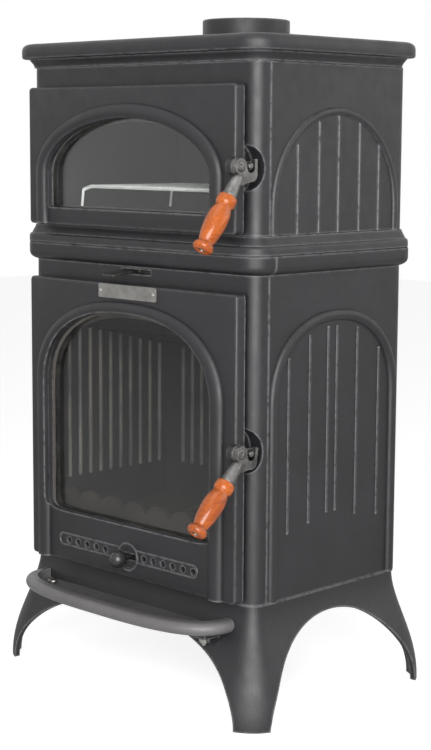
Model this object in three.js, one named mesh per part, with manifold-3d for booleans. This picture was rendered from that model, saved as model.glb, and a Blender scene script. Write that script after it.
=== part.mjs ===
// Cast iron stove with a baking oven above the firebox.
// Millimetres, Z up. The stove faces -Y. The drawing origin is the middle of the body on the floor,
// and the finished group is shifted so that its own origin is the bottom centre of all pieces.

import * as THREE from "three";
import { mergeVertices } from "three/addons/utils/BufferGeometryUtils.js";
import Module from "manifold-3d";

const wasm = await Module();
wasm.setup();

// fits
const gap = 0.3;
const overrun = 30;
const runIn = 1;

// the body: four walls on a base, in two storeys
const body = { halfWide: 237.5, halfDeep: 155.5, corner: 22, wall: 9 };
const base = { top: 168, flare: 47, footCorner: 46, flangeThick: 10, flangeWide: 33, levels: 6 };
const baseShares = { flarePower: 0.9 };
const sideArch = { halfWide: 162, rise: 137 };
const frontArch = { halfWide: 240, rise: 120 };
const archShares = { sideAlong: 2, sideUp: 1.6, frontAlong: 2.5, frontUp: 2, steps: 12 };

// the mouldings: where each level lies between the foot and the top of its moulding,
// and how far it stands out beyond the body
const band = { top: 655.5, tall: 26.5, outs: [0, 4.5, 9, 12, 13, 13] };
const bandShares = [0, 0.053, 0.151, 0.302, 0.453, 1];
const belt = { tall: 26.5, outs: [11.5, 13, 13, 11, 8.6, 7.2, 4.2, 3] };
const beltShares = [0, 0.069, 0.351, 0.489, 0.527, 0.656, 0.847, 1];
const oven = { tall: 235 };
const ovenShares = { spring: 0.332, sideSpring: 0.162, handle: 0.403, shelf: 0.247 };
const crown = { tall: 42, outs: [3, 4.6, 8.4, 10.5, 19.5, 22, 22, 20.2, 16, 10, -22, -23.6, -26] };
const crownShares = [0, 0.101, 0.209, 0.305, 0.319, 0.377, 0.688, 0.82, 0.904, 0.933, 0.942, 0.986, 1];
const beltTop = band.top + belt.tall;
const ovenTop = beltTop + oven.tall;
const crownTop = ovenTop + crown.tall;
const hollow = { inset: 15, beltPlate: 8, crownPlate: 12 };

// how far things stand in from the sides of the body
const sideIn = {
  doorLeft: 22.5,
  ovenDoor: 19,
  fireDoor: 14.5,
  hinge: 30.5,
  ovenArch: 42,
  fireArch: 38.8,
  opening: 54.5,
  pocket: 33.5,
  recess: 24.5,
  smokeInner: 39.5,
  smokeOuter: 17.5,
  hearth: 18.5,
  ledge: 24.5,
  liner: 32.5,
  baffle: 24.5,
  guard: 37.5,
  ashPan: 72.5,
  ovenBox: 47.5,
  rackFoot: 59.5,
  rackShoulder: 81.5,
  rackBars: 87.5,
  rail: 59.5,
  channel: 59.5,
  slideLeft: 87.5,
  slideRight: 74.5,
  washLeft: 65.5,
  washRight: 95.5,
  vent: 86.5,
};

// how far things stand in from the front wall (out in front of it where negative)
const frontIn = {
  doorFace: -23,
  doorBack: -6,
  hinge: -12,
  ovenHandle: -29.5,
  fireHandle: -28.8,
  lug: -49.5,
  lipBolt: -27.5,
  seam: 25.5,
  pocket: 24.5,
  guard: 21.5,
  liner: 31.5,
  pad: 65.5,
  baffle: 76.5,
  ashPan: 27.5,
  hearth: 14.5,
  ledge: 37.5,
  smokeHole: 51.5,
  rack: 51.5,
};

// and from the rear wall
const rearIn = {
  liner: 49.5,
  pad: 83.5,
  baffle: 39.5,
  ashPan: 59.5,
  ovenBox: 45.5,
  rack: 71.5,
  smokeHole: 29.5,
  flue: 85.5,
};

// how far things in the upper storey stand above the belt, and below the top of the oven walls
const ovenUp = {
  door: 2.7,
  window: 28,
  hingeLow: 40,
  box: 16,
};
const ovenDown = { door: 29.8, arch: 54.4, sideArch: 59.5, hingeHigh: 68, box: 39 };

// and in the lower storey, below the top of its moulding
const bandDown = {
  fireDoor: 51.1,
  fireArch: 76.5,
  fireSideArch: 81.9,
  hingeHigh: 107.5,
  nameplate: 72.5,
  slot: 37.5,
  airwash: 49.5,
  baffleFront: 132.5,
  baffleBack: 179.5,
};

const smokeHole = {
  inner: body.halfWide - sideIn.smokeInner,
  outer: body.halfWide - sideIn.smokeOuter,
  front: -body.halfDeep + frontIn.smokeHole,
  back: body.halfDeep - rearIn.smokeHole,
};

// the ash lip in front of the base
const lip = {
  middle: 3,
  halfWide: 208.5,
  reach: 88,
  bottom: 126,
  floor: 6,
  rim: 20,
  top: 145,
  edge: 4,
};
const lipShares = { power: 2.9, steps: 18 };
const lipLug = { middle: 166, halfWide: 13, front: -body.halfDeep + frontIn.lug, thick: 8 };
const lipBolt = { radius: 4, headRadius: 8, head: 5, nut: 7, tip: 106, y: -body.halfDeep + frontIn.lipBolt };

// the doors
const doorFace = -body.halfDeep + frontIn.doorFace;
const doorBack = -body.halfDeep + frontIn.doorBack;
const door = { left: -body.halfWide + sideIn.doorLeft, corner: 6, edge: 2.6, seat: 11 };
const ovenDoor = {
  right: body.halfWide - sideIn.ovenDoor,
  bottom: beltTop + ovenUp.door,
  top: ovenTop - ovenDown.door,
};
const fireDoor = { right: body.halfWide - sideIn.fireDoor, bottom: 172.3, top: band.top - bandDown.fireDoor };
const ovenSpring = beltTop + oven.tall * ovenShares.spring;
const ovenArch = {
  middle: 0.5,
  halfWide: body.halfWide - sideIn.ovenArch,
  spring: ovenSpring,
  rise: ovenTop - ovenDown.arch - ovenSpring,
  bead: 24,
  beadTop: 23.3,
};
const fireSpring = 445;
const fireArch = {
  middle: 0.7,
  halfWide: body.halfWide - sideIn.fireArch,
  spring: fireSpring,
  rise: band.top - bandDown.fireArch - fireSpring,
  bead: 27,
  beadTop: 22,
};
const arcShares = { ovenPower: 2, firePower: 2.3, steps: 16 };
const bead = { proud: 8.5, round: 10 };
const ovenWindow = { bottom: beltTop + ovenUp.window, run: 7, lift: 7 };
const fireWindow = { bottom: 247, run: 38, lift: 15 };
const glass = { overlap: 8, gasket: 1.4, gasketWide: 5, retainer: 2, retainerWide: 13.4, lap: 2.4 };
const rope = { inset: 23.5, wide: 8.4, bottomIn: 9.8, topIn: 10.4, depth: 5, clear: 0.3, corner: 10 };
const opening = { halfWide: body.halfWide - sideIn.opening, inset: 6.2, corner: 8 };

// concealed hinges at the left of each door
const hinge = {
  x: -body.halfWide + sideIn.hinge,
  y: -body.halfDeep + frontIn.hinge,
  radius: 5.5,
  tall: 20,
  stem: 8,
  pin: 3,
  pinEnd: 14,
  skin: 4,
  free: 1.2,
};
const ovenHingeHeights = [beltTop + ovenUp.hingeLow, ovenTop - ovenDown.hingeHigh];
const fireHingeHeights = [232, band.top - bandDown.hingeHigh];

// the lever handles: a barrel at the door's right edge, a flat lever head on a cross bolt
// with its hook, a tapered shaft and a turned wooden grip. Places across are counted from
// the right edge of the door, places along from the point of the shaft nearest to the bolt.
const handle = {
  barrel: 12,
  barrelStart: -2,
  barrelEnd: 10.9,
  lugStart: -5.5,
  lugBack: 12,
  lugHalf: 9,
  head: 11,
  headStart: 11.3,
  headEnd: 17.2,
  bolt: 3.6,
  boltHead: 7.2,
  boltHeadThick: 3,
  boltSocket: 3,
  boltSocketDeep: 2,
  boltIn: 10,
  aside: 6.3,
  clear: 15.5,
  neck: 2.9,
  neckStart: 8,
  shaftThin: 7.4,
  shaftStart: 25,
  shaftThick: 10.2,
  shaftEnd: 44.7,
  spigot: 5,
  spigotEnd: 72,
  end: 130,
};
const gripProfile = [
  { out: 13, along: 45 },
  { out: 13.8, along: 47.6 },
  { out: 13.8, along: 56 },
  { out: 12.8, along: 58.2 },
  { out: 11, along: 59.5 },
  { out: 13.4, along: 66.3 },
  { out: 15.2, along: 74.8 },
  { out: 15.4, along: 83.3 },
  { out: 14.1, along: 100.3 },
  { out: 12.5, along: 108.8 },
  { out: 10.6, along: 117.3 },
  { out: 12.5, along: 119 },
  { out: 14.6, along: 124 },
  { out: 13.5, along: 127.5 },
];
const gripEnd = { out: 11 };
const endScrew = { head: 5, headThick: 3, shank: 2.6, length: 34, sink: 1, socket: 2.2, socketDeep: 1.6 };
const hook = { slotFront: 11.6, slotBack: 26.6, slotBottom: -8.8, back: 31.5, top: 9.8, edge: 0.8 };
const hookFoot = { out: 20.5, down: -20.8, corner: -9, rootOut: 2.6, rootDown: -25 };
const keeper = { out: 19, up: 0.5, radius: 4, lug: 6, start: 0.8, lugEnd: 6.5, root: 3, end: 18, back: 42 };
const recess = { out: 4, up: -2.7, radius: 35.7 };
const pocket = { margin: 8 };
const ovenHandle = {
  y: -body.halfDeep + frontIn.ovenHandle,
  z: beltTop + oven.tall * ovenShares.handle,
  leanDegrees: 36,
  turnDegrees: 0,
};
const fireHandle = { y: -body.halfDeep + frontIn.fireHandle, z: 389, turnDegrees: 8.3 };

// air controls
const slotTall = 6.6;
const slotBottom = band.top - bandDown.slot;
const slot = { left: -34, right: 30, bottom: slotBottom, top: slotBottom + slotTall };
const airwashTall = 32;
const airwash = {
  left: -body.halfWide + sideIn.washLeft,
  right: body.halfWide - sideIn.washRight,
  bottom: band.top - bandDown.airwash,
  top: band.top - bandDown.airwash + airwashTall,
  thick: 3,
  tabLeft: -31,
  tabWide: 26,
  tabReach: 40,
  tabThick: 3.4,
  tabDrop: 4,
  tabLip: 10,
  window: 36,
  windowTall: 12,
  windows: 4,
  pitch: 70,
};
const rail = { halfWide: body.halfWide - sideIn.rail, thick: 5, reach: 4, lip: 3 };
const ventMiddle = 1;
const ventHalf = body.halfWide - sideIn.vent;
const vent = {
  left: ventMiddle - ventHalf,
  right: ventMiddle + ventHalf,
  bottom: 195.4,
  top: 217.2,
  line: 4,
  proud: 2.2,
  holes: 4.6,
  z: 205.6,
};
const ventShares = { end: 0.45, depth: 0.8, round: 0.4 };
const ventHoleShares = [-0.851, -0.715, -0.581, -0.444, -0.307, 0.248, 0.38, 0.513, 0.646, 0.787, 0.927];
const knob = { x: 5, z: 203, ball: 13, reach: 20, stem: 4, recess: 18.4, deep: 3.4, travel: 12 };
const airPlate = {
  left: -body.halfWide + sideIn.slideLeft,
  right: body.halfWide - sideIn.slideRight,
  bottom: 191.4,
  top: 219.8,
  thick: 3,
  lap: 5,
  channel: body.halfWide - sideIn.channel,
};

// the bare nameplate
const plateTall = 20.4;
const plate = {
  left: -56,
  right: 66,
  bottom: band.top - bandDown.nameplate,
  top: band.top - bandDown.nameplate + plateTall,
  thick: 1.6,
  corner: 2,
};
const plateScrew = { inset: 5.5, head: 3, headThick: 1.2, shank: 1.6, length: 5 };

// side panel relief
const fireSideArch = {
  middle: 10.5,
  halfWide: 138,
  spring: fireSpring,
  rise: band.top - bandDown.fireSideArch - fireSpring,
  bead: 16,
  beadTop: 16,
};
const ovenSideSpring = beltTop + oven.tall * ovenShares.sideSpring;
const ovenSideArch = {
  middle: 8.3,
  halfWide: 135.5,
  spring: ovenSideSpring,
  rise: ovenTop - ovenDown.sideArch - ovenSideSpring,
  bead: 11,
  beadTop: 11,
};
const sideShares = { firePower: 2.2, ovenPower: 2, steps: 14 };
const sideBead = { proud: 6, round: 7 };
const thinBead = { proud: 4, round: 4.2 };
const planks = [
  { y: -75, down: 111 },
  { y: -30.5, down: 80 },
  { y: 10.8, down: 71 },
  { y: 56.3, down: 80 },
  { y: 99.6, down: 111 },
];
const plankGroove = { wide: 3.6, deep: 1.8 };
const longRib = { down: 164, up: 106 };
const ribs = [
  { y: -88, down: 183, up: 67 },
  { y: -44, down: 174, up: 96 },
  { y: -5, ...longRib },
  { y: 14, ...longRib },
  { y: 59, down: 176, up: 100 },
  { y: 108, down: 184, up: 67 },
];
const ribSize = { wide: 6, proud: 1.8 };

// inside the firebox
const floorPlate = { thick: 6, free: 1.5 };
const hearth = {
  top: 226,
  thick: 8,
  halfWide: body.halfWide - sideIn.hearth,
  halfDeep: body.halfDeep - frontIn.hearth,
  corner: 12,
};
const ledge = { inner: body.halfWide - sideIn.ledge, thick: 8, halfDeep: body.halfDeep - frontIn.ledge };
const grate = { halfWide: 100, halfDeep: 74, thick: 8, lap: 9, seat: 4, bars: 11, slotShare: 0.55 };
const liner = {
  face: body.halfWide - sideIn.liner,
  thick: 9,
  front: -body.halfDeep + frontIn.liner,
  back: body.halfDeep - rearIn.liner,
  ribPitch: 22,
  rib: 4,
  ribWide: 9,
};
const pad = {
  radius: 9,
  low: 290,
  high: 440,
  front: -body.halfDeep + frontIn.pad,
  back: body.halfDeep - rearIn.pad,
};
const backLiner = { thick: 9 };
const baffle = {
  front: -body.halfDeep + frontIn.baffle,
  back: body.halfDeep - rearIn.baffle,
  frontUnder: band.top - bandDown.baffleFront,
  backUnder: band.top - bandDown.baffleBack,
  thick: 9,
  lip: 11,
  halfWide: body.halfWide - sideIn.baffle,
};
const guard = {
  front: -body.halfDeep + frontIn.guard,
  thick: 8,
  halfWide: body.halfWide - sideIn.guard,
  top: 274,
  valley: 18,
  pitch: 51,
  shift: 21.5,
  foot: 24,
};
const guardFoot = { thick: 6 };
const ashPan = {
  halfWide: body.halfWide - sideIn.ashPan,
  front: -body.halfDeep + frontIn.ashPan,
  back: body.halfDeep - rearIn.ashPan,
  tall: 34,
  wall: 2,
  grip: 60,
  gripTall: 16,
  gripOut: 10,
};

// the oven
const ovenBox = {
  halfWide: body.halfWide - sideIn.ovenBox,
  bottom: beltTop + ovenUp.box,
  top: ovenTop - ovenDown.box,
  wall: 6,
  back: body.halfDeep - rearIn.ovenBox,
  leg: 22,
  legInset: 20,
};
const rackKnee = 4;
const rack = {
  wire: 2.6,
  shelf: beltTop + oven.tall * ovenShares.shelf,
  foot: body.halfWide - sideIn.rackFoot,
  knee: body.halfWide - sideIn.rackFoot - rackKnee,
  shoulder: body.halfWide - sideIn.rackShoulder,
  kneeDrop: 5,
  front: -body.halfDeep + frontIn.rack,
  back: body.halfDeep - rearIn.rack,
};
const rackBars = { count: 7, halfWide: body.halfWide - sideIn.rackBars };

// the flue
const flue = {
  y: body.halfDeep - rearIn.flue,
  radius: 66,
  bore: 57,
  tall: 31,
  edge: 2,
  sleeve: 54.6,
  sleeveBore: 50,
  sleeveDown: 16,
  seat: 1.6,
};

// facets
const facets = {
  column: 3,
  corner: 2,
  round: 12,
  small: 8,
  turning: 12,
  grip: 10,
  bevel: 1,
  bead: 2,
  wire: 2,
  ball: 10,
  tiny: 6,
  socket: 6,
};

// finishes
const iron = { color: 0x3b3a3a, roughness: 0.62, metalness: 0.35 };
const innerIron = { color: 0x2b2a29, roughness: 0.85, metalness: 0.2 };
const steel = { color: 0x7d7b78, roughness: 0.38, metalness: 0.9 };
const zinc = { color: 0xb4b3ae, roughness: 0.35, metalness: 0.95 };
const wood = { color: 0xc4602a, roughness: 0.34, metalness: 0 };
const pane = { color: 0x17191a, roughness: 0.08, metalness: 0 };
const cord = { color: 0x4a4845, roughness: 0.95, metalness: 0 };
const namePlateFinish = { color: 0xaaa59d, roughness: 0.42, metalness: 0.7 };
const knobFinish = { color: 0x141414, roughness: 0.22, metalness: 0 };
const vermiculite = { color: 0x8c8170, roughness: 0.95, metalness: 0 };

// a three.js geometry as a solid, and back
function solidOf(geometry) {
  geometry.deleteAttribute("normal");
  geometry.deleteAttribute("uv");
  const merged = mergeVertices(geometry);
  const mesh = new wasm.Mesh({
    numProp: 3,
    vertProperties: merged.attributes.position.array,
    triVerts: new Uint32Array(merged.index.array),
  });
  return new wasm.Manifold(mesh);
}

function geometryOf(solid) {
  const mesh = solid.getMesh();
  const geometry = new THREE.BufferGeometry();
  geometry.setAttribute("position", new THREE.BufferAttribute(mesh.vertProperties, 3));
  geometry.setIndex(new THREE.BufferAttribute(mesh.triVerts, 1));
  return geometry;
}

function joined(solids) {
  return solids.reduce((sum, solid) => sum.add(solid));
}

function cutBy(solid, cutters) {
  return cutters.reduce((left, cutter) => left.subtract(cutter), solid);
}

// outlines
function rectangle(x0, y0, x1, y1, corner) {
  const shape = new THREE.Shape();
  shape.moveTo(x0 + corner, y0);
  shape.lineTo(x1 - corner, y0);
  shape.absarc(x1 - corner, y0 + corner, corner, -Math.PI / 2, 0, false);
  shape.lineTo(x1, y1 - corner);
  shape.absarc(x1 - corner, y1 - corner, corner, 0, Math.PI / 2, false);
  shape.lineTo(x0 + corner, y1);
  shape.absarc(x0 + corner, y1 - corner, corner, Math.PI / 2, Math.PI, false);
  shape.lineTo(x0, y0 + corner);
  shape.absarc(x0 + corner, y0 + corner, corner, Math.PI, Math.PI * 1.5, false);
  return shape;
}

function polygon(pairs) {
  return new THREE.Shape(pairs.map(([across, up]) => new THREE.Vector2(across, up)));
}

// the points of an arch from its left springing over the crown to its right springing
function archPoints(middle, halfWide, spring, rise, along, up, steps) {
  const points = [];
  for (let i = 0; i <= steps; i += 1) {
    const turn = Math.PI * (1 - i / steps);
    const cos = Math.cos(turn);
    const across = Math.sign(cos) * Math.abs(cos) ** (2 / along) * halfWide;
    const height = Math.max(Math.sin(turn), 0) ** (2 / up) * rise;
    points.push(new THREE.Vector2(middle + across, spring + height));
  }
  return points;
}

function windowShape(arch, sill, power, inset) {
  const halfWide = arch.halfWide - arch.bead - inset;
  const rise = arch.rise - arch.beadTop - inset;
  const left = arch.middle - halfWide;
  const right = arch.middle + halfWide;
  const bottom = sill.bottom + inset;
  const shape = new THREE.Shape();
  shape.moveTo(left, bottom + sill.lift);
  shape.quadraticCurveTo(left, bottom, left + sill.run, bottom);
  shape.lineTo(right - sill.run, bottom);
  shape.quadraticCurveTo(right, bottom, right, bottom + sill.lift);
  const points = archPoints(arch.middle, halfWide, arch.spring, rise, power, power, arcShares.steps);
  for (const point of points.reverse()) {
    shape.lineTo(point.x, point.y);
  }
  return shape;
}

// an arch-shaped band with straight legs, open at the foot
function horseshoe(arch, foot, power, steps) {
  const halfInner = arch.halfWide - arch.bead;
  const riseInner = arch.rise - arch.beadTop;
  const outer = archPoints(arch.middle, arch.halfWide, arch.spring, arch.rise, power, power, steps);
  const inner = archPoints(arch.middle, halfInner, arch.spring, riseInner, power, power, steps).reverse();
  const first = new THREE.Vector2(arch.middle - arch.halfWide, foot);
  const last = new THREE.Vector2(arch.middle + arch.halfWide, foot);
  const innerFirst = new THREE.Vector2(arch.middle + halfInner, foot);
  const innerLast = new THREE.Vector2(arch.middle - halfInner, foot);
  return new THREE.Shape([first, ...outer, last, innerFirst, ...inner, innerLast]);
}

// an outline drawn out from 0 to its thickness, with rounded ends where an edge is given
function drawn(shape, thick, edge = 0, round = edge) {
  const rounded = round > edge;
  const geometry = new THREE.ExtrudeGeometry(shape, {
    depth: thick - edge * 2,
    bevelEnabled: edge > 0,
    bevelThickness: edge,
    bevelSize: round,
    bevelOffset: -round,
    bevelSegments: Math.round(rounded ? facets.bead : facets.bevel),
    curveSegments: Math.round(facets.corner),
  });
  return geometry.translate(0, 0, edge);
}

// outline in X and Z, its rear at the given Y
function frontwise(shape, back, thick, edge, round) {
  return solidOf(drawn(shape, thick, edge, round).rotateX(Math.PI / 2).translate(0, back, 0));
}

// outline in Y and Z, its low side at the given X
function sidewise(shape, start, thick, edge, round) {
  const axes = new THREE.Matrix4().makeBasis(
    new THREE.Vector3(0, 1, 0),
    new THREE.Vector3(0, 0, 1),
    new THREE.Vector3(1, 0, 0),
  );
  return solidOf(drawn(shape, thick, edge, round).applyMatrix4(axes).translate(start, 0, 0));
}

// outline in X and Y, its underside at the given Z
function planwise(shape, bottom, thick, edge, round) {
  return solidOf(drawn(shape, thick, edge, round).translate(0, 0, bottom));
}

function block(x0, y0, z0, x1, y1, z1) {
  const geometry = new THREE.BoxGeometry(x1 - x0, y1 - y0, z1 - z0);
  return solidOf(geometry.translate((x0 + x1) / 2, (y0 + y1) / 2, (z0 + z1) / 2));
}

function rodX(radius, x0, x1, y, z, sides = facets.round) {
  const geometry = new THREE.CylinderGeometry(radius, radius, x1 - x0, sides);
  return solidOf(geometry.rotateZ(Math.PI / 2).translate((x0 + x1) / 2, y, z));
}

function rodY(radius, y0, y1, x, z, sides = facets.round) {
  const geometry = new THREE.CylinderGeometry(radius, radius, y1 - y0, sides);
  return solidOf(geometry.translate(x, (y0 + y1) / 2, z));
}

function rodZ(radius, z0, z1, x, y, sides = facets.round) {
  const geometry = new THREE.CylinderGeometry(radius, radius, z1 - z0, sides);
  return solidOf(geometry.rotateX(Math.PI / 2).translate(x, y, (z0 + z1) / 2));
}

// a rounded rectangle drawn upwards through levels of half width, half depth and corner
function loft(levels) {
  const first = levels[0];
  const shape = rectangle(-first.a, -first.b, first.a, first.b, first.r);
  const geometry = new THREE.ExtrudeGeometry(shape, {
    depth: levels.length - 1,
    steps: levels.length - 1,
    bevelEnabled: false,
    curveSegments: Math.round(facets.column),
  });
  const position = geometry.attributes.position;
  for (let i = 0; i < position.count; i += 1) {
    const level = levels[Math.round(position.getZ(i))];
    const x = position.getX(i);
    const y = position.getY(i);
    const acrossShare = (Math.abs(x) - first.a + first.r) / first.r;
    const deepShare = (Math.abs(y) - first.b + first.r) / first.r;
    const newX = Math.sign(x) * (level.a - level.r + level.r * acrossShare);
    const newY = Math.sign(y) * (level.b - level.r + level.r * deepShare);
    position.setXYZ(i, newX, newY, level.z);
  }
  return solidOf(geometry);
}

function bodyLevel(z, out, corner = body.corner + Math.max(out, 0)) {
  return { z, a: body.halfWide + out, b: body.halfDeep + out, r: corner };
}

function levelsBetween(bottom, top, shares, outs) {
  return shares.map((share, i) => bodyLevel(bottom + (top - bottom) * share, outs[i]));
}

function mirrorX(solid) {
  const geometry = geometryOf(solid).scale(-1, 1, 1);
  const order = geometry.index.array;
  for (let i = 0; i < order.length; i += 3) {
    const kept = order[i];
    order[i] = order[i + 1];
    order[i + 1] = kept;
  }
  return solidOf(geometry);
}

const part = new THREE.Group();
part.name = "stove_with_oven";

function add(name, solid, finish) {
  const mesh = new THREE.Mesh(geometryOf(solid), new THREE.MeshStandardMaterial(finish));
  mesh.name = name;
  part.add(mesh);
}

// the base: a flared skirt with an arch on each side, so that four curved feet remain
function baseLevels(inset, bottom, top) {
  const levels = [];
  for (let i = 0; i <= Math.round(base.levels); i += 1) {
    const z = bottom + ((top - bottom) * i) / base.levels;
    const downShare = Math.min(Math.max((base.top - z) / base.top, 0), 1);
    const flare = base.flare * Math.sin((Math.PI / 2) * downShare ** baseShares.flarePower) ** 2;
    const corner = body.corner + base.footCorner * Math.sin((Math.PI / 2) * downShare) ** 2;
    levels.push(bodyLevel(z, flare - inset, corner - inset));
  }
  return levels;
}

function footArch(arch, along, up) {
  const points = archPoints(0, arch.halfWide, 0, arch.rise, along, up, archShares.steps);
  const left = new THREE.Vector2(-arch.halfWide, -overrun);
  const right = new THREE.Vector2(arch.halfWide, -overrun);
  return new THREE.Shape([left, ...points, right]);
}

const reachAll = body.halfWide + base.flare + overrun;
const innerFlangeWide = body.halfWide - base.flangeWide;
const innerFlangeDeep = body.halfDeep - base.flangeWide;
const skirtOuter = loft(baseLevels(0, 0, base.top));
const skirtInner = loft(baseLevels(body.wall, 0, base.top - base.flangeThick));
const skirtDrain = planwise(
  rectangle(
    -body.halfWide - base.flare + body.wall * 2,
    -body.halfDeep - base.flare + body.wall * 2,
    body.halfWide + base.flare - body.wall * 2,
    body.halfDeep + base.flare - body.wall * 2,
    body.corner + base.footCorner,
  ),
  -overrun,
  overrun + runIn,
);
const flangeHole = planwise(
  rectangle(-innerFlangeWide, -innerFlangeDeep, innerFlangeWide, innerFlangeDeep, body.corner),
  base.top - base.flangeThick - runIn,
  base.flangeThick + runIn * 2,
);
const sideArchCut = sidewise(
  footArch(sideArch, archShares.sideAlong, archShares.sideUp),
  -reachAll,
  reachAll * 2,
);
const frontArchCut = frontwise(
  footArch(frontArch, archShares.frontAlong, archShares.frontUp),
  reachAll,
  reachAll * 2,
);
const lugTop = lip.bottom - gap;
const lipLugs = [-1, 1].map((side) => {
  const x = lip.middle + side * lipLug.middle;
  return block(
    x - lipLug.halfWide,
    lipLug.front,
    lugTop - lipLug.thick,
    x + lipLug.halfWide,
    -body.halfDeep,
    lugTop,
  );
});
const boltBores = [-1, 1].map((side) => {
  const x = lip.middle + side * lipLug.middle;
  return rodZ(lipBolt.radius + gap, lipBolt.tip, lip.top + overrun, x, lipBolt.y, facets.small);
});
const baseShell = cutBy(joined([skirtOuter, ...lipLugs]), [
  skirtInner,
  skirtDrain,
  flangeHole,
  sideArchCut,
  frontArchCut,
  ...boltBores,
]);
add("base_frame", baseShell, iron);

// the ash lip: a shallow tray with a rounded rim
function lipShape(inset) {
  const front = archPoints(
    0,
    lip.halfWide - inset,
    0,
    lip.reach - inset,
    lipShares.power,
    lipShares.power,
    lipShares.steps,
  );
  const backward = front.map((point) => new THREE.Vector2(lip.middle - point.x, -body.halfDeep - point.y));
  const left = new THREE.Vector2(lip.middle - lip.halfWide + inset, -body.halfDeep + overrun);
  const right = new THREE.Vector2(lip.middle + lip.halfWide - inset, -body.halfDeep + overrun);
  return new THREE.Shape([left, ...backward.reverse(), right]);
}
const lipBlank = planwise(lipShape(0), lip.bottom, lip.top - lip.bottom, lip.edge);
const lipHollow = planwise(lipShape(lip.rim), lip.bottom + lip.floor, lip.top);
const skirtFit = loft(baseLevels(-gap, 0, base.top));
const lipBody = cutBy(lipBlank, [lipHollow, skirtFit, ...boltBores]);
add("ash_lip", lipBody, iron);

for (const [side, name] of [
  [-1, "left"],
  [1, "right"],
]) {
  const x = lip.middle + side * lipLug.middle;
  const seat = lip.bottom + lip.floor + gap;
  const under = lugTop - lipLug.thick - gap;
  const shank = rodZ(lipBolt.radius, lipBolt.tip, seat + lipBolt.head, x, lipBolt.y, facets.small);
  const head = rodZ(lipBolt.headRadius, seat, seat + lipBolt.head, x, lipBolt.y, facets.small);
  const nut = rodZ(lipBolt.headRadius, under - lipBolt.nut, under, x, lipBolt.y, facets.socket);
  add(`ash_lip_bolt_${name}`, joined([shank, head, nut]), zinc);
}

// the walls of one storey: a ring that is parted into front frame, side panels and back panel
function wallRing(levels, bottom, top) {
  const outer = loft(levels);
  const inside = body.wall;
  const inner = planwise(
    rectangle(
      -body.halfWide + inside,
      -body.halfDeep + inside,
      body.halfWide - inside,
      body.halfDeep - inside,
      body.corner - inside,
    ),
    bottom - runIn,
    top - bottom + runIn * 2,
  );
  return outer.subtract(inner);
}

const frontSeam = body.halfDeep - frontIn.seam;
const cornerStart = body.halfWide - body.corner;
const backSplit = body.halfDeep - body.wall - runIn;
function frontOf(ring, bottom, top) {
  return ring.intersect(block(-reachAll, -reachAll, bottom, reachAll, -frontSeam, top));
}

function sideOf(ring, bottom, top) {
  const right = block(cornerStart, -frontSeam + gap, bottom, reachAll, reachAll, top);
  return ring.intersect(right);
}

function backOf(ring, bottom, top) {
  const middle = block(-cornerStart + gap, backSplit, bottom, cornerStart - gap, reachAll, top);
  return ring.intersect(middle);
}

const lowBottom = base.top + gap;
const lowTop = band.top;
const bandLevels = levelsBetween(band.top - band.tall, band.top, bandShares, band.outs);
const lowRing = wallRing([bodyLevel(lowBottom, 0), ...bandLevels], lowBottom, lowTop);
const highBottom = beltTop + gap;
const highRing = wallRing([bodyLevel(highBottom, 0), bodyLevel(ovenTop, 0)], highBottom, ovenTop);

// what each front frame carries: hinge lugs, latch pocket, keeper hole
function hingeLug(height) {
  const low = height - hinge.tall / 2;
  const high = height + hinge.tall / 2;
  const stem = block(
    hinge.x - hinge.stem / 2,
    hinge.y,
    low,
    hinge.x + hinge.stem / 2,
    -body.halfDeep + runIn,
    high,
  );
  const eye = rodZ(hinge.radius, low, high, hinge.x, hinge.y, facets.round);
  const bore = rodZ(hinge.pin + gap, low - runIn, high + runIn, hinge.x, hinge.y, facets.turning);
  return joined([stem, eye]).subtract(bore);
}

function keeperSpot(where) {
  const turn = THREE.MathUtils.degToRad(where.turnDegrees);
  const back = keeper.out * Math.cos(turn) + keeper.up * Math.sin(turn);
  const up = keeper.up * Math.cos(turn) - keeper.out * Math.sin(turn);
  return { y: where.y + back, z: where.z + up };
}

// solid metal behind the round recess of the latch, inside the rounded column
function latchPocket(where) {
  const z = where.z + recess.up;
  const reach = recess.radius + pocket.margin;
  const backing = block(
    body.halfWide - sideIn.pocket,
    -body.halfDeep,
    z - reach,
    body.halfWide,
    -body.halfDeep + frontIn.pocket,
    z + reach,
  );
  return backing.intersect(loft([bodyLevel(z - reach, 0), bodyLevel(z + reach, 0)]));
}

function latchRecess(where) {
  const start = body.halfWide - sideIn.recess;
  return rodX(recess.radius, start, reachAll, where.y + recess.out, where.z + recess.up, facets.round * 2);
}

// the lug that stands out of the recess beside the door and holds the keeper pin
function keeperLug(panel, where) {
  const spot = keeperSpot(where);
  const start = panel.right + keeper.start;
  const end = panel.right + keeper.lugEnd;
  const eye = rodX(keeper.lug, start, end, spot.y, spot.z, facets.round);
  const arm = block(start, spot.y, spot.z - keeper.lug, end, where.y + keeper.back, spot.z + keeper.lug);
  const bore = rodX(keeper.radius + gap, start + keeper.root - gap, end + runIn, spot.y, spot.z, facets.round);
  return joined([eye, arm]).subtract(bore);
}

function doorOpening(panel) {
  const low = panel.bottom + rope.bottomIn + opening.inset;
  const high = panel.top - rope.topIn - opening.inset;
  const shape = rectangle(-opening.halfWide, low, opening.halfWide, high, opening.corner);
  return frontwise(shape, -frontSeam, body.halfDeep);
}

function frontFrame(ring, bottom, top, panel, where, heights, extras, cuts) {
  const front = frontOf(ring, bottom, top);
  const lugs = heights.map(hingeLug);
  const added = joined([front, latchPocket(where), ...lugs, ...extras]);
  const shell = cutBy(added, [doorOpening(panel), latchRecess(where), ...cuts]);
  return shell.add(keeperLug(panel, where));
}

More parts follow.
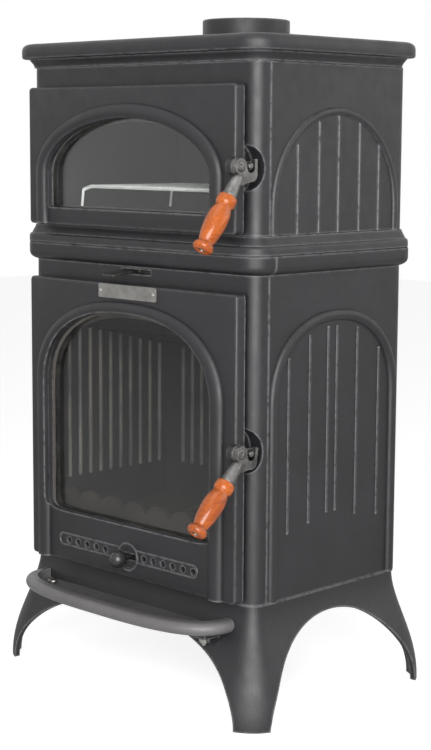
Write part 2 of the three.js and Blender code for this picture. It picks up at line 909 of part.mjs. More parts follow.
// rails behind the lintel that guide the upper air slide
const lintelBack = -body.halfDeep + body.wall;
const slideFront = lintelBack + gap;
const slideBack = slideFront + airwash.thick;
function slideRail(edge, away) {
  const far = edge + away * rail.thick;
  const lipFar = edge - away * rail.reach;
  const arm = block(
    -rail.halfWide,
    lintelBack - runIn,
    Math.min(edge, far),
    rail.halfWide,
    slideBack + gap + rail.lip,
    Math.max(edge, far),
  );
  const keep = block(
    -rail.halfWide,
    slideBack + gap,
    Math.min(lipFar, far),
    rail.halfWide,
    slideBack + gap + rail.lip,
    Math.max(lipFar, far),
  );
  return arm.add(keep);
}
const slideRails = [slideRail(airwash.bottom - gap, -1), slideRail(airwash.top + gap, 1)];
const slotCut = block(slot.left, -reachAll, slot.bottom, slot.right, slideFront, slot.top);
add(
  "lower_front_frame",
  frontFrame(lowRing, lowBottom, lowTop, fireDoor, fireHandle, fireHingeHeights, slideRails, [slotCut]),
  iron,
);
add(
  "oven_front_frame",
  frontFrame(highRing, highBottom, ovenTop, ovenDoor, ovenHandle, ovenHingeHeights, [], []),
  iron,
);

for (const [name, panel, where] of [
  ["oven_keeper_pin", ovenDoor, ovenHandle],
  ["firebox_keeper_pin", fireDoor, fireHandle],
]) {
  const spot = keeperSpot(where);
  const start = panel.right + keeper.start + keeper.root;
  add(name, rodX(keeper.radius, start, panel.right + keeper.end, spot.y, spot.z, facets.round), steel);
}

// side panels with their cast relief
function sidePanel(ring, bottom, top, additions, cuts) {
  return cutBy(joined([sideOf(ring, bottom, top), ...additions]), cuts);
}

const lowBead = sidewise(
  horseshoe(fireSideArch, lowBottom, sideShares.firePower, sideShares.steps),
  body.halfWide - sideBead.proud,
  sideBead.proud * 2,
  sideBead.proud - runIn / 2,
  sideBead.round,
);
function slimProfile(size, half, y, low, high) {
  const geometry = new THREE.CylinderGeometry(half, half, high - low, facets.tiny);
  geometry.scale(size / half, 1, 1).rotateX(Math.PI / 2);
  return solidOf(geometry.translate(body.halfWide, y, (low + high) / 2));
}
const ribSolids = ribs.map((line) =>
  slimProfile(ribSize.proud, ribSize.wide / 2, line.y, fireSpring - line.down, fireSpring + line.up),
);
const hearthBottom = hearth.top - hearth.thick;
const sideLedge = block(
  ledge.inner,
  -ledge.halfDeep,
  hearthBottom - gap - ledge.thick,
  body.halfWide - body.wall + runIn,
  ledge.halfDeep,
  hearthBottom - gap,
);
const lowSide = sidePanel(lowRing, lowBottom, lowTop, [lowBead, ...ribSolids, sideLedge], []);
add("lower_side_panel_right", lowSide, iron);
add("lower_side_panel_left", mirrorX(lowSide), iron);

const highBead = sidewise(
  horseshoe(ovenSideArch, highBottom, sideShares.ovenPower, sideShares.steps),
  body.halfWide - thinBead.proud,
  thinBead.proud * 2,
  thinBead.proud - runIn / 4,
  thinBead.round,
);
const plankCuts = planks.map((line) =>
  slimProfile(plankGroove.deep, plankGroove.wide / 2, line.y, highBottom - runIn, ovenTop - line.down),
);
const highSide = sidePanel(highRing, highBottom, ovenTop, [highBead], plankCuts);
add("oven_side_panel_right", highSide, iron);
add("oven_side_panel_left", mirrorX(highSide), iron);

add("lower_back_panel", backOf(lowRing, lowBottom, lowTop), iron);
add("oven_back_panel", backOf(highRing, highBottom, ovenTop), iron);

// the belt plate between the storeys
const hollowWide = body.halfWide - hollow.inset;
const hollowDeep = body.halfDeep - hollow.inset;
const hollowShape = rectangle(-hollowWide, -hollowDeep, hollowWide, hollowDeep, body.corner);
const beltDepth = beltTop - hollow.beltPlate - band.top;
const beltHollow = planwise(hollowShape, band.top - runIn, beltDepth + runIn);
const smokeCuts = [-1, 1].map((side) => {
  const x0 = side > 0 ? smokeHole.inner : -smokeHole.outer;
  const x1 = side > 0 ? smokeHole.outer : -smokeHole.inner;
  return block(x0, smokeHole.front, band.top, x1, smokeHole.back, beltTop + runIn);
});
const beltBlank = loft(levelsBetween(band.top + gap, beltTop, beltShares, belt.outs));
add("oven_floor_plate", cutBy(beltBlank, [beltHollow, ...smokeCuts]), iron);

// the top plate and the flue collar
const crownDepth = crownTop - hollow.crownPlate - ovenTop;
const crownHollow = planwise(hollowShape, ovenTop - runIn, crownDepth + runIn);
const flueHole = rodZ(flue.sleeve + gap, ovenTop, crownTop + runIn, 0, flue.y, facets.round * 2);
const collarSeat = crownTop - flue.seat;
const seatCut = rodZ(flue.radius + gap, collarSeat, crownTop + runIn, 0, flue.y, facets.round * 2);
const crownBlank = loft(levelsBetween(ovenTop + gap, crownTop, crownShares, crown.outs));
add("top_plate", cutBy(crownBlank, [crownHollow, flueHole, seatCut]), iron);

const collarPoints = [
  [flue.sleeveBore, crownTop - flue.sleeveDown],
  [flue.sleeve, crownTop - flue.sleeveDown],
  [flue.sleeve, collarSeat + gap],
  [flue.radius, collarSeat + gap],
  [flue.radius, crownTop + flue.tall - flue.edge],
  [flue.radius - flue.edge, crownTop + flue.tall],
  [flue.bore, crownTop + flue.tall],
  [flue.bore, crownTop + flue.edge],
  [flue.sleeveBore, crownTop + flue.edge],
  [flue.sleeveBore, crownTop - flue.sleeveDown],
].map(([out, up]) => new THREE.Vector2(out, up));
const collar = new THREE.LatheGeometry(collarPoints, facets.round * 2);
add("flue_collar", solidOf(collar.rotateX(Math.PI / 2).translate(0, flue.y, 0)), iron);

// floor, hearth, grate and ash pan
const insideWide = body.halfWide - body.wall - floorPlate.free;
const insideDeep = body.halfDeep - body.wall - floorPlate.free;
const insideCorner = body.corner - body.wall;
const floorTop = lowBottom + floorPlate.thick;
add(
  "firebox_floor",
  planwise(
    rectangle(-insideWide, -insideDeep, insideWide, insideDeep, insideCorner),
    lowBottom,
    floorPlate.thick,
  ),
  innerIron,
);

const hearthShape = rectangle(
  -hearth.halfWide,
  -hearth.halfDeep,
  hearth.halfWide,
  hearth.halfDeep,
  hearth.corner,
);
const grateHole = block(
  -grate.halfWide + grate.lap,
  -grate.halfDeep + grate.lap,
  hearthBottom - runIn,
  grate.halfWide - grate.lap,
  grate.halfDeep - grate.lap,
  hearth.top + runIn,
);
const grateSeat = block(
  -grate.halfWide - gap,
  -grate.halfDeep - gap,
  hearth.top - grate.seat,
  grate.halfWide + gap,
  grate.halfDeep + gap,
  hearth.top + runIn,
);
const hearthPlate = cutBy(planwise(hearthShape, hearthBottom, hearth.thick), [grateHole, grateSeat]);
add("hearth_plate", hearthPlate, innerIron);

const grateBottom = hearth.top - grate.seat + gap;
const barPitch = ((grate.halfWide - grate.lap) * 2) / grate.bars;
const grateSlots = [];
for (let i = 0; i < grate.bars; i += 1) {
  const x = -grate.halfWide + grate.lap + barPitch * (i + 1 / 2);
  const half = (barPitch * grate.slotShare) / 2;
  grateSlots.push(
    block(
      x - half,
      -grate.halfDeep + grate.lap,
      grateBottom - runIn,
      x + half,
      grate.halfDeep - grate.lap,
      grateBottom + grate.thick + runIn,
    ),
  );
}
const grateBlank = block(
  -grate.halfWide,
  -grate.halfDeep,
  grateBottom,
  grate.halfWide,
  grate.halfDeep,
  grateBottom + grate.thick,
);
add("grate", cutBy(grateBlank, grateSlots), innerIron);

const panBottom = floorTop + gap;
const panTop = panBottom + ashPan.tall;
const panOuter = block(-ashPan.halfWide, ashPan.front, panBottom, ashPan.halfWide, ashPan.back, panTop);
const panInner = block(
  -ashPan.halfWide + ashPan.wall,
  ashPan.front + ashPan.wall,
  panBottom + ashPan.wall,
  ashPan.halfWide - ashPan.wall,
  ashPan.back - ashPan.wall,
  panBottom + ashPan.tall + runIn,
);
const panGripTop = panBottom + ashPan.tall;
const panGripOuter = block(
  -ashPan.grip,
  ashPan.front - ashPan.gripOut,
  panGripTop - ashPan.gripTall,
  ashPan.grip,
  ashPan.front + runIn,
  panGripTop,
);
const panGripInner = block(
  -ashPan.grip + ashPan.wall * 2,
  ashPan.front - ashPan.gripOut + ashPan.wall,
  panGripTop - ashPan.gripTall - runIn,
  ashPan.grip - ashPan.wall * 2,
  ashPan.front,
  panGripTop + runIn,
);
const pan = joined([panOuter.subtract(panInner), panGripOuter.subtract(panGripInner)]).subtract(panInner);
add("ash_pan", pan, steel);

// the log guard: a scalloped rail behind the glass
const guardBottom = hearth.top + gap;
const crestRadius = (guard.pitch ** 2 / 4 + guard.valley ** 2) / (guard.valley * 2);
const crestMiddle = guard.top - crestRadius;
const guardBack = guard.front + guard.thick;
const guardRail = block(
  -guard.halfWide,
  guard.front,
  guardBottom,
  guard.halfWide,
  guardBack,
  crestMiddle,
);
const guardStand = block(
  -guard.halfWide,
  guard.front,
  guardBottom,
  guard.halfWide,
  guard.front + guard.foot,
  guardBottom + guardFoot.thick,
);
const guardReach = block(
  -guard.halfWide,
  guard.front,
  guardBottom,
  guard.halfWide,
  guardBack,
  guard.top,
);
const crestCount = Math.ceil((guard.halfWide * 2) / guard.pitch);
const crests = [];
for (let i = 0; i <= crestCount; i += 1) {
  const x = guard.shift + guard.pitch * (i - crestCount / 2);
  if (Math.abs(x) < guard.halfWide) {
    crests.push(rodY(crestRadius, guard.front, guardBack, x, crestMiddle, facets.round * 2));
  }
}
const guardCrests = joined(crests).intersect(guardReach);
add("log_guard", joined([guardRail, guardCrests, guardStand]), innerIron);

// ribbed liners on both sides and at the back, and the sloping baffle on top of them
const slopeShare = (baffle.backUnder - baffle.frontUnder) / (baffle.back - baffle.front);
function baffleUnder(y) {
  return baffle.frontUnder + slopeShare * (Math.max(y, baffle.front) - baffle.front);
}
const linerShape = polygon([
  [liner.front, guardBottom],
  [liner.back, guardBottom],
  [liner.back, baffleUnder(liner.back) - gap],
  [baffle.front, baffleUnder(baffle.front) - gap],
  [liner.front, baffleUnder(baffle.front) - gap],
]);
const linerPlate = sidewise(linerShape, liner.face, liner.thick);
const linerGrooves = [];
const grooveCount = Math.floor((liner.back - liner.front) / liner.ribPitch);
for (let i = 0; i < grooveCount; i += 1) {
  const y = liner.front + liner.ribPitch * (i + 1 / 2) + liner.ribWide / 2;
  const half = liner.ribWide / 2;
  linerGrooves.push(
    block(
      liner.face - runIn,
      y - half,
      guardBottom + liner.ribWide,
      liner.face + liner.rib,
      y + half,
      baffle.backUnder - liner.ribWide,
    ),
  );
}
const padEnd = body.halfWide - body.wall - gap;
const padStart = liner.face + liner.thick - runIn;
const pads = [pad.low, pad.high].flatMap((z) =>
  [pad.front, pad.back].map((y) => rodX(pad.radius, padStart, padEnd, y, z, facets.small)),
);
const rightLiner = joined([cutBy(linerPlate, linerGrooves), ...pads]);
add("liner_right", rightLiner, vermiculite);
add("liner_left", mirrorX(rightLiner), vermiculite);

const backWide = liner.face + liner.thick;
const backFront = liner.back + gap;
const backTop = baffleUnder(backFront + backLiner.thick) - gap;
const backPlate = block(-backWide, backFront, guardBottom, backWide, backFront + backLiner.thick, backTop);
const backGrooves = [];
const backCount = Math.floor((liner.face * 2) / liner.ribPitch);
for (let i = 0; i < backCount; i += 1) {
  const x = liner.ribPitch * (i - (backCount - 1) / 2);
  const half = liner.ribWide / 2;
  backGrooves.push(
    block(
      x - half,
      backFront - runIn,
      guardBottom + liner.ribWide,
      x + half,
      backFront + liner.rib,
      backTop - liner.ribWide,
    ),
  );
}
const backPadEnd = body.halfDeep - body.wall - gap;
const backPads = [pad.low, pad.high].flatMap((z) =>
  [-1, 1].map((side) =>
    rodY(
      pad.radius,
      backFront + backLiner.thick - runIn,
      backPadEnd,
      (side * liner.face) / 2,
      z,
      facets.small,
    ),
  ),
);
add("liner_back", joined([cutBy(backPlate, backGrooves), ...backPads]), vermiculite);

const baffleShape = polygon([
  [baffle.front, baffle.frontUnder],
  [baffle.back, baffle.backUnder],
  [baffle.back, baffle.backUnder + baffle.thick],
  [baffle.front + baffle.lip, baffle.frontUnder + baffle.thick],
  [baffle.front + baffle.lip, baffle.frontUnder + baffle.thick + baffle.lip],
  [baffle.front, baffle.frontUnder + baffle.thick + baffle.lip],
]);
add("baffle", sidewise(baffleShape, -baffle.halfWide, baffle.halfWide * 2), vermiculite);

// the oven box on four legs, and the wire rack inside it
const boxFront = lintelBack + gap;
const boxOuter = block(
  -ovenBox.halfWide,
  boxFront,
  ovenBox.bottom,
  ovenBox.halfWide,
  ovenBox.back,
  ovenBox.top,
);
const boxInner = block(
  -ovenBox.halfWide + ovenBox.wall,
  boxFront - runIn,
  ovenBox.bottom + ovenBox.wall,
  ovenBox.halfWide - ovenBox.wall,
  ovenBox.back - ovenBox.wall,
  ovenBox.top - ovenBox.wall,
);
const boxLegs = [-1, 1].flatMap((side) =>
  [boxFront + ovenBox.legInset, ovenBox.back - ovenBox.legInset - ovenBox.leg].map((y) => {
    const near = ovenBox.halfWide - ovenBox.legInset - ovenBox.leg;
    const x0 = side > 0 ? near : -near - ovenBox.leg;
    return block(x0, y, highBottom, x0 + ovenBox.leg, y + ovenBox.leg, ovenBox.bottom + runIn);
  }),
);
add("oven_box", joined([boxOuter.subtract(boxInner), ...boxLegs]), innerIron);

const rackFoot = ovenBox.bottom + ovenBox.wall + gap;
function wireAlong(points) {
  const path = new THREE.CurvePath();
  for (let i = 1; i < points.length; i += 1) {
    path.add(new THREE.LineCurve3(points[i - 1], points[i]));
  }
  const circle = new THREE.Shape();
  circle.absarc(0, 0, rack.wire, 0, Math.PI * 2, false);
  const pieces = [];
  for (const line of path.curves) {
    pieces.push(
      solidOf(
        new THREE.ExtrudeGeometry(circle, {
          steps: 1,
          bevelEnabled: false,
          curveSegments: Math.round(facets.wire),
          extrudePath: line,
        }),
      ),
    );
  }
  return joined(pieces);
}
function rackEnd(y) {
  const stations = [
    [-rack.foot, rackFoot],
    [-rack.knee, rack.shelf - rack.kneeDrop],
    [-rack.shoulder, rack.shelf],
    [rack.shoulder, rack.shelf],
    [rack.knee, rack.shelf - rack.kneeDrop],
    [rack.foot, rackFoot],
  ];
  return wireAlong(stations.map(([x, z]) => new THREE.Vector3(x, y, z)));
}
const rackWires = [];
for (let i = 0; i < rackBars.count; i += 1) {
  const x = rackBars.halfWide * ((2 * i) / (rackBars.count - 1) - 1);
  rackWires.push(rodY(rack.wire, rack.front, rack.back, x, rack.shelf, facets.tiny));
}
const rackFloorTrim = block(-reachAll, -reachAll, 0, reachAll, reachAll, rackFoot);
add(
  "oven_rack",
  joined([rackEnd(rack.front), rackEnd(rack.back), ...rackWires]).subtract(rackFloorTrim),
  zinc,
);

// a door: slab with bead, window, glass seat, rope groove and hinge pockets
function ringFront(outer, inner, back, thick, edge, round) {
  outer.holes.push(inner);
  return frontwise(outer, back, thick, edge, round);
}

function ropeRect(panel, halfBand) {
  return rectangle(
    door.left + rope.inset - halfBand,
    panel.bottom + rope.bottomIn - halfBand,
    -door.left - rope.inset + halfBand,
    panel.top - rope.topIn + halfBand,
    rope.corner + halfBand,
  );
}

function hingePocket(height) {
  const low = height - hinge.tall / 2 - hinge.free;
  const high = height + hinge.tall / 2 + hinge.free;
  const wide = hinge.radius + hinge.free;
  return joined([
    block(door.left - runIn, doorFace + hinge.skin, low, hinge.x + wide, doorBack + runIn, high),
    rodZ(
      hinge.pin + gap,
      low - hinge.pinEnd,
      high + hinge.pinEnd,
      hinge.x,
      hinge.y,
      facets.turning,
    ),
  ]);
}

const seatBack = doorFace + door.seat;
function doorSlab(panel, arch, sill, power, where, heights, additions, cuts) {
  const outline = rectangle(door.left, panel.bottom, panel.right, panel.top, door.corner);
  const slab = frontwise(outline, doorBack, doorBack - doorFace, door.edge);
  const beadBand = frontwise(
    horseshoe(arch, panel.bottom - overrun, power, arcShares.steps),
    doorFace + bead.proud,
    bead.proud * 2,
    bead.proud - runIn / 2,
    bead.round,
  );
  const keepInside = block(
    door.left,
    doorFace - overrun,
    panel.bottom + door.edge,
    panel.right,
    doorBack - runIn,
    panel.top,
  );
  const barrelEnd = panel.right + handle.barrelEnd;
  const barrel = rodX(
    handle.barrel,
    panel.right + handle.barrelStart,
    barrelEnd,
    where.y,
    where.z,
    facets.round,
  );
  const barrelLug = block(
    panel.right + handle.lugStart,
    where.y,
    where.z - handle.lugHalf,
    barrelEnd,
    where.y + handle.lugBack,
    where.z + handle.lugHalf,
  );
  const boltHole = rodX(
    handle.bolt + gap,
    barrelEnd - handle.boltIn - gap,
    reachAll,
    where.y,
    where.z,
    facets.turning,
  );
  const windowCut = frontwise(windowShape(arch, sill, power, 0), 0, -doorFace + overrun);
  const glassSeat = frontwise(
    windowShape(arch, sill, power, -glass.overlap),
    doorBack + runIn,
    doorBack + runIn - seatBack,
  );
  const ropeGroove = ringFront(
    ropeRect(panel, rope.wide / 2 + gap),
    ropeRect(panel, -rope.wide / 2 - gap),
    doorBack + runIn,
    rope.depth + runIn,
  );
  return cutBy(joined([slab, beadBand.intersect(keepInside), barrel, barrelLug, ...additions]), [
    windowCut,
    glassSeat,
    ropeGroove,
    boltHole,
    ...heights.map(hingePocket),
    ...cuts,
  ]);
}

// glass, its gasket, the ring that holds it, the door rope and the hinge pins
function doorFittings(prefix, panel, arch, sill, power, heights) {
  const free = -glass.overlap + gap;
  const gasketFront = seatBack + gap;
  const glassFront = gasketFront + glass.gasket + gap;
  const ringFace = doorBack + gap;
  add(
    `${prefix}_glass_gasket`,
    ringFront(
      windowShape(arch, sill, power, free),
      windowShape(arch, sill, power, free + glass.gasketWide),
      gasketFront + glass.gasket,
      glass.gasket,
    ),
    cord,
  );
  add(
    `${prefix}_glass`,
    frontwise(windowShape(arch, sill, power, free), doorBack, doorBack - glassFront),
    pane,
  );
  add(
    `${prefix}_glass_retainer`,
    ringFront(
      windowShape(arch, sill, power, -glass.overlap - glass.lap),
      windowShape(arch, sill, power, -glass.overlap - glass.lap + glass.retainerWide),
      ringFace + glass.retainer,
      glass.retainer,
    ),
    steel,
  );
  const ropeFront = doorBack - rope.depth + gap;
  const ropeBack = -body.halfDeep - rope.clear;
  add(
    `${prefix}_door_rope`,
    ringFront(
      ropeRect(panel, rope.wide / 2),
      ropeRect(panel, -rope.wide / 2),
      ropeBack,
      ropeBack - ropeFront,
    ),
    cord,
  );
  heights.forEach((height, index) => {
    const reach = hinge.tall / 2 + hinge.free + hinge.pinEnd - gap;
    const pin = rodZ(hinge.pin, height - reach, height + reach, hinge.x, hinge.y, facets.turning);
    add(`${prefix}_hinge_pin_${index === 0 ? "low" : "high"}`, pin, steel);
  });
}

add(
  "oven_door",
  doorSlab(ovenDoor, ovenArch, ovenWindow, arcShares.ovenPower, ovenHandle, ovenHingeHeights, [], []),
  iron,
);
doorFittings("oven", ovenDoor, ovenArch, ovenWindow, arcShares.ovenPower, ovenHingeHeights);

// the firebox door also has the row of air holes, the knob recess and the slide channel
const ventEnd = (vent.top - vent.bottom) * ventShares.end;
const ventOuter = rectangle(vent.left, vent.bottom, vent.right, vent.top, ventEnd);
const ventInner = rectangle(
  vent.left + vent.line,
  vent.bottom + vent.line,
  vent.right - vent.line,
  vent.top - vent.line,
  ventEnd - vent.line,
);
const ventLine = ringFront(
  ventOuter,
  ventInner,
  doorFace + vent.proud,
  vent.proud * 2,
  vent.proud * ventShares.depth,
  vent.line * ventShares.round,
);
const knobRing = rodY(knob.recess + vent.line, doorFace - vent.proud, doorFace + runIn, knob.x, knob.z);
const knobRecess = rodY(knob.recess, doorFace - overrun, doorFace + knob.deep, knob.x, knob.z);
const knobHalf = knob.travel + knob.stem + gap * 2;
const knobSlot = frontwise(
  rectangle(
    knob.x - knobHalf,
    knob.z - knob.stem - gap,
    knob.x + knobHalf,
    knob.z + knob.stem + gap,
    knob.stem,
  ),
  doorBack + runIn,
  doorBack - doorFace + overrun,
);
const ventHoles = ventHoleShares.map((share) => ventMiddle + ventHalf * share);
const ventCuts = ventHoles.map((x) =>
  rodY(vent.holes, doorFace - overrun, doorBack + runIn, x, vent.z, facets.tiny),
);
const plateBack = seatBack + airPlate.thick;
const channel = block(
  -airPlate.channel,
  seatBack - gap,
  airPlate.bottom - gap,
  airPlate.channel,
  plateBack + gap,
  airPlate.top + gap,
);
const channelMouth = block(
  -airPlate.channel,
  seatBack - gap,
  airPlate.bottom + airPlate.lap,
  airPlate.channel,
  doorBack + runIn,
  airPlate.top - airPlate.lap,
);
const screwSpots = [plate.left + plateScrew.inset, plate.right - plateScrew.inset];
const plateMiddle = (plate.bottom + plate.top) / 2;
const screwHoles = screwSpots.map((x) =>
  rodY(
    plateScrew.shank + gap,
    doorFace - overrun,
    doorFace + plateScrew.length,
    x,
    plateMiddle,
    facets.small,
  ),
);
add(
  "firebox_door",
  doorSlab(
    fireDoor,
    fireArch,
    fireWindow,
    arcShares.firePower,
    fireHandle,
    fireHingeHeights,
    [ventLine, knobRing],
    [knobRecess, knobSlot, ...ventCuts, channel, channelMouth, ...screwHoles],
  ),
  iron,
);
doorFittings("firebox", fireDoor, fireArch, fireWindow, arcShares.firePower, fireHingeHeights);

// the nameplate stays bare
const plateFront = doorFace - gap - plate.thick;
const nameBlank = frontwise(
  rectangle(plate.left, plate.bottom, plate.right, plate.top, plate.corner),
  doorFace - gap,
  plate.thick,
);
add("nameplate", cutBy(nameBlank, screwHoles), namePlateFinish);
screwSpots.forEach((x, index) => {
  const headBack = plateFront - gap;
  const head = rodY(plateScrew.head, headBack - plateScrew.headThick, headBack, x, plateMiddle, facets.small);
  const shank = rodY(
    plateScrew.shank,
    headBack - plateScrew.headThick,
    doorFace + plateScrew.length - gap,
    x,
    plateMiddle,
    facets.small,
  );
  add(`nameplate_screw_${index === 0 ? "left" : "right"}`, joined([head, shank]), zinc);
});

// the primary air slide behind the holes, with its ball knob
const slidePlate = block(
  airPlate.left + airPlate.lap,
  seatBack,
  airPlate.bottom,
  airPlate.right,
  plateBack,
  airPlate.top,
);
const stemFront = doorFace - knob.reach;
const stem = rodY(knob.stem, stemFront, seatBack + runIn, knob.x, knob.z, facets.small);
const plateHoles = ventHoles.map((x) =>
  rodY(vent.holes, seatBack - runIn, plateBack + runIn, x, vent.z, facets.tiny),
);
add("primary_air_slide", joined([cutBy(slidePlate, plateHoles), stem]), steel);
const ballShape = new THREE.SphereGeometry(knob.ball, facets.ball, facets.tiny);
const ball = solidOf(ballShape.rotateX(Math.PI / 2).translate(knob.x, stemFront, knob.z));
const stemHole = rodY(knob.stem + gap, stemFront - gap, stemFront + overrun, knob.x, knob.z, facets.small);
add("air_knob", ball.subtract(stemHole), knobFinish);

// the airwash slide behind the lintel, with the tab that comes out through the slot
const washPlate = block(
  airwash.left,
  slideFront,
  airwash.bottom,
  airwash.right,
  slideBack,
  airwash.top,
);
const washWindows = [];
for (let i = 0; i < airwash.windows; i += 1) {
  const middle = (airwash.left + airwash.right) / 2 + airwash.pitch * (i - (airwash.windows - 1) / 2);
  const up = (airwash.bottom + airwash.top) / 2;
  washWindows.push(
    block(
      middle - airwash.window / 2,
      slideFront - runIn,
      up + airwash.windowTall / 4,
      middle + airwash.window / 2,
      slideBack + runIn,
      up + airwash.windowTall,
    ),
  );
}
const tabMiddle = (slot.bottom + slot.top) / 2;
const tabFront = -body.halfDeep - airwash.tabReach;
const tabShape = polygon([
  [slideBack, tabMiddle - airwash.tabThick / 2],
  [slideBack, tabMiddle + airwash.tabThick / 2],
  [-body.halfDeep, tabMiddle + airwash.tabThick / 2],
  [tabFront + airwash.tabLip, tabMiddle + airwash.tabThick / 2 - airwash.tabDrop / 2],
  [tabFront, tabMiddle + airwash.tabThick / 2 - airwash.tabDrop],
  [tabFront, tabMiddle - airwash.tabThick / 2 - airwash.tabDrop],
  [tabFront + airwash.tabLip, tabMiddle - airwash.tabThick / 2 - airwash.tabDrop / 2],
  [-body.halfDeep, tabMiddle - airwash.tabThick / 2],
]);
const tab = sidewise(tabShape, airwash.tabLeft, airwash.tabWide);
add("airwash_slide", joined([cutBy(washPlate, washWindows), tab]), steel);

// lever handles: a flat head with its hook, a tapered shaft, a turned grip, an end screw and
// the pivot bolt. All are drawn around the bolt's axis, across counted from the door's edge.
const headMiddle = (handle.headStart + handle.headEnd) / 2;
const lean = THREE.MathUtils.degToRad(ovenHandle.leanDegrees);
function alongLever(geometry) {
  const turned = geometry.rotateX(-Math.PI / 2 - lean);
  return turned.translate(headMiddle, handle.aside * Math.cos(lean), -handle.aside * Math.sin(lean));
}

function lathed(pairs, sides) {
  const points = pairs.map(([out, up]) => new THREE.Vector2(out, up));
  return new THREE.LatheGeometry(points, sides);
}

// seen from the side: from the bolt under the slot for the keeper pin and up behind it,
// then down the rear edge and along the web to the shaft
function hookShape() {
  const shape = new THREE.Shape();
  const slotRadius = (hook.slotBack - hook.slotFront) / 2;
  const slotMiddle = hook.slotFront + slotRadius;
  const slotLow = hook.slotBottom + slotRadius;
  shape.moveTo(0, 0);
  shape.lineTo(hook.slotFront, slotLow);
  shape.absarc(slotMiddle, slotLow, slotRadius, Math.PI, Math.PI * 2, false);
  shape.lineTo(hook.slotBack, hook.top);
  shape.lineTo(hook.back, hook.top);
  shape.lineTo(hook.back, hookFoot.corner);
  shape.quadraticCurveTo(hook.back, hookFoot.down, hookFoot.out, hookFoot.down);
  shape.lineTo(hookFoot.rootOut, hookFoot.rootDown);
  return shape;
}

function leverSolids() {
  const head = rodX(handle.head, handle.headStart, handle.headEnd, 0, 0, facets.round * 2);
  const shaft = solidOf(
    alongLever(
      lathed(
        [
          [0, handle.neckStart],
          [handle.neck, handle.neckStart],
          [handle.shaftThin, handle.shaftStart],
          [handle.shaftThick, handle.shaftEnd],
          [handle.spigot, handle.shaftEnd],
          [handle.spigot, handle.spigotEnd],
          [0, handle.spigotEnd],
        ],
        facets.grip,
      ),
    ),
  );
  const shaftAtRoot = polygon([
    [0, 0],
    [hookFoot.rootOut, hookFoot.rootDown],
    [-handle.head, hookFoot.rootDown],
  ]);
  const headThick = handle.headEnd - handle.headStart;
  const claw = sidewise(hookShape(), handle.headStart, headThick, hook.edge);
  const web = sidewise(shaftAtRoot, handle.headStart, headThick, hook.edge);
  const bore = rodX(handle.bolt + gap, handle.headStart - runIn, handle.headEnd + runIn, 0, 0, facets.turning);
  const sinkStart = handle.headEnd - handle.boltHeadThick - gap;
  const sink = rodX(handle.boltHead + gap, sinkStart, handle.headEnd + runIn, 0, 0, facets.round);
  const barrelRoom = rodX(handle.clear, handle.barrelStart, handle.headStart, 0, 0, facets.round * 2);
  return cutBy(joined([head, shaft, claw, web]), [bore, sink, barrelRoom]);
}

function gripSolid() {
  const outline = gripProfile.map(({ out, along }) => [out, along]);
  const first = gripProfile[0];
  const blank = lathed([[0, first.along], ...outline, [gripEnd.out, handle.end], [0, handle.end]], facets.grip);
  const seat = handle.end - endScrew.sink - endScrew.headThick - gap;
  const bore = lathed(
    [
      [0, 0],
      [handle.spigot + gap, 0],
      [handle.spigot + gap, handle.spigotEnd + gap],
      [endScrew.shank + gap, handle.spigotEnd + gap],
      [endScrew.shank + gap, seat],
      [endScrew.head + gap, seat],
      [endScrew.head + gap, handle.end + runIn],
      [0, handle.end + runIn],
    ],
    facets.grip,
  );
  return solidOf(alongLever(blank)).subtract(solidOf(alongLever(bore)));
}

function screwSolid() {
  const top = handle.end - endScrew.sink;
  const outline = [
    [0, top - endScrew.headThick - endScrew.length],
    [endScrew.shank, top - endScrew.headThick - endScrew.length],
    [endScrew.shank, top - endScrew.headThick],
    [endScrew.head, top - endScrew.headThick],
    [endScrew.head, top],
    [endScrew.socket, top],
    [endScrew.socket, top - endScrew.socketDeep],
    [0, top - endScrew.socketDeep],
  ];
  return solidOf(alongLever(lathed(outline, facets.grip)));
}

function boltSolid() {
  const under = handle.headEnd - handle.boltHeadThick;
  const shank = rodX(handle.bolt, handle.barrelEnd - handle.boltIn, under + runIn, 0, 0, facets.turning);
  const head = rodX(handle.boltHead, under, handle.headEnd, 0, 0, facets.round);
  const socketStart = handle.headEnd - handle.boltSocketDeep;
  const socket = rodX(handle.boltSocket, socketStart, handle.headEnd + runIn, 0, 0, facets.socket);
  return joined([shank, head]).subtract(socket);
}

function addTurned(name, solid, panel, where, finish) {
  const turn = THREE.MathUtils.degToRad(where.turnDegrees);
  const geometry = geometryOf(solid).rotateX(-turn).translate(panel.right, where.y, where.z);
  add(name, solidOf(geometry), finish);
}

for (const [prefix, panel, where] of [
  ["oven", ovenDoor, ovenHandle],
  ["firebox", fireDoor, fireHandle],
]) {
  addTurned(`${prefix}_lever`, leverSolids(), panel, where, steel);
  addTurned(`${prefix}_grip`, gripSolid(), panel, where, wood);
  addTurned(`${prefix}_grip_screw`, screwSolid(), panel, where, zinc);
  addTurned(`${prefix}_pivot_bolt`, boltSolid(), panel, where, steel);
}

// the group's own origin goes to the bottom centre of everything
const bounds = new THREE.Box3().setFromObject(part);
const centre = bounds.getCenter(new THREE.Vector3());
part.position.set(-centre.x, -centre.y, -bounds.min.z);
part.updateMatrixWorld(true);

export default part;
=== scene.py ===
import math
import bpy
import bmesh
from mathutils import Matrix, Vector


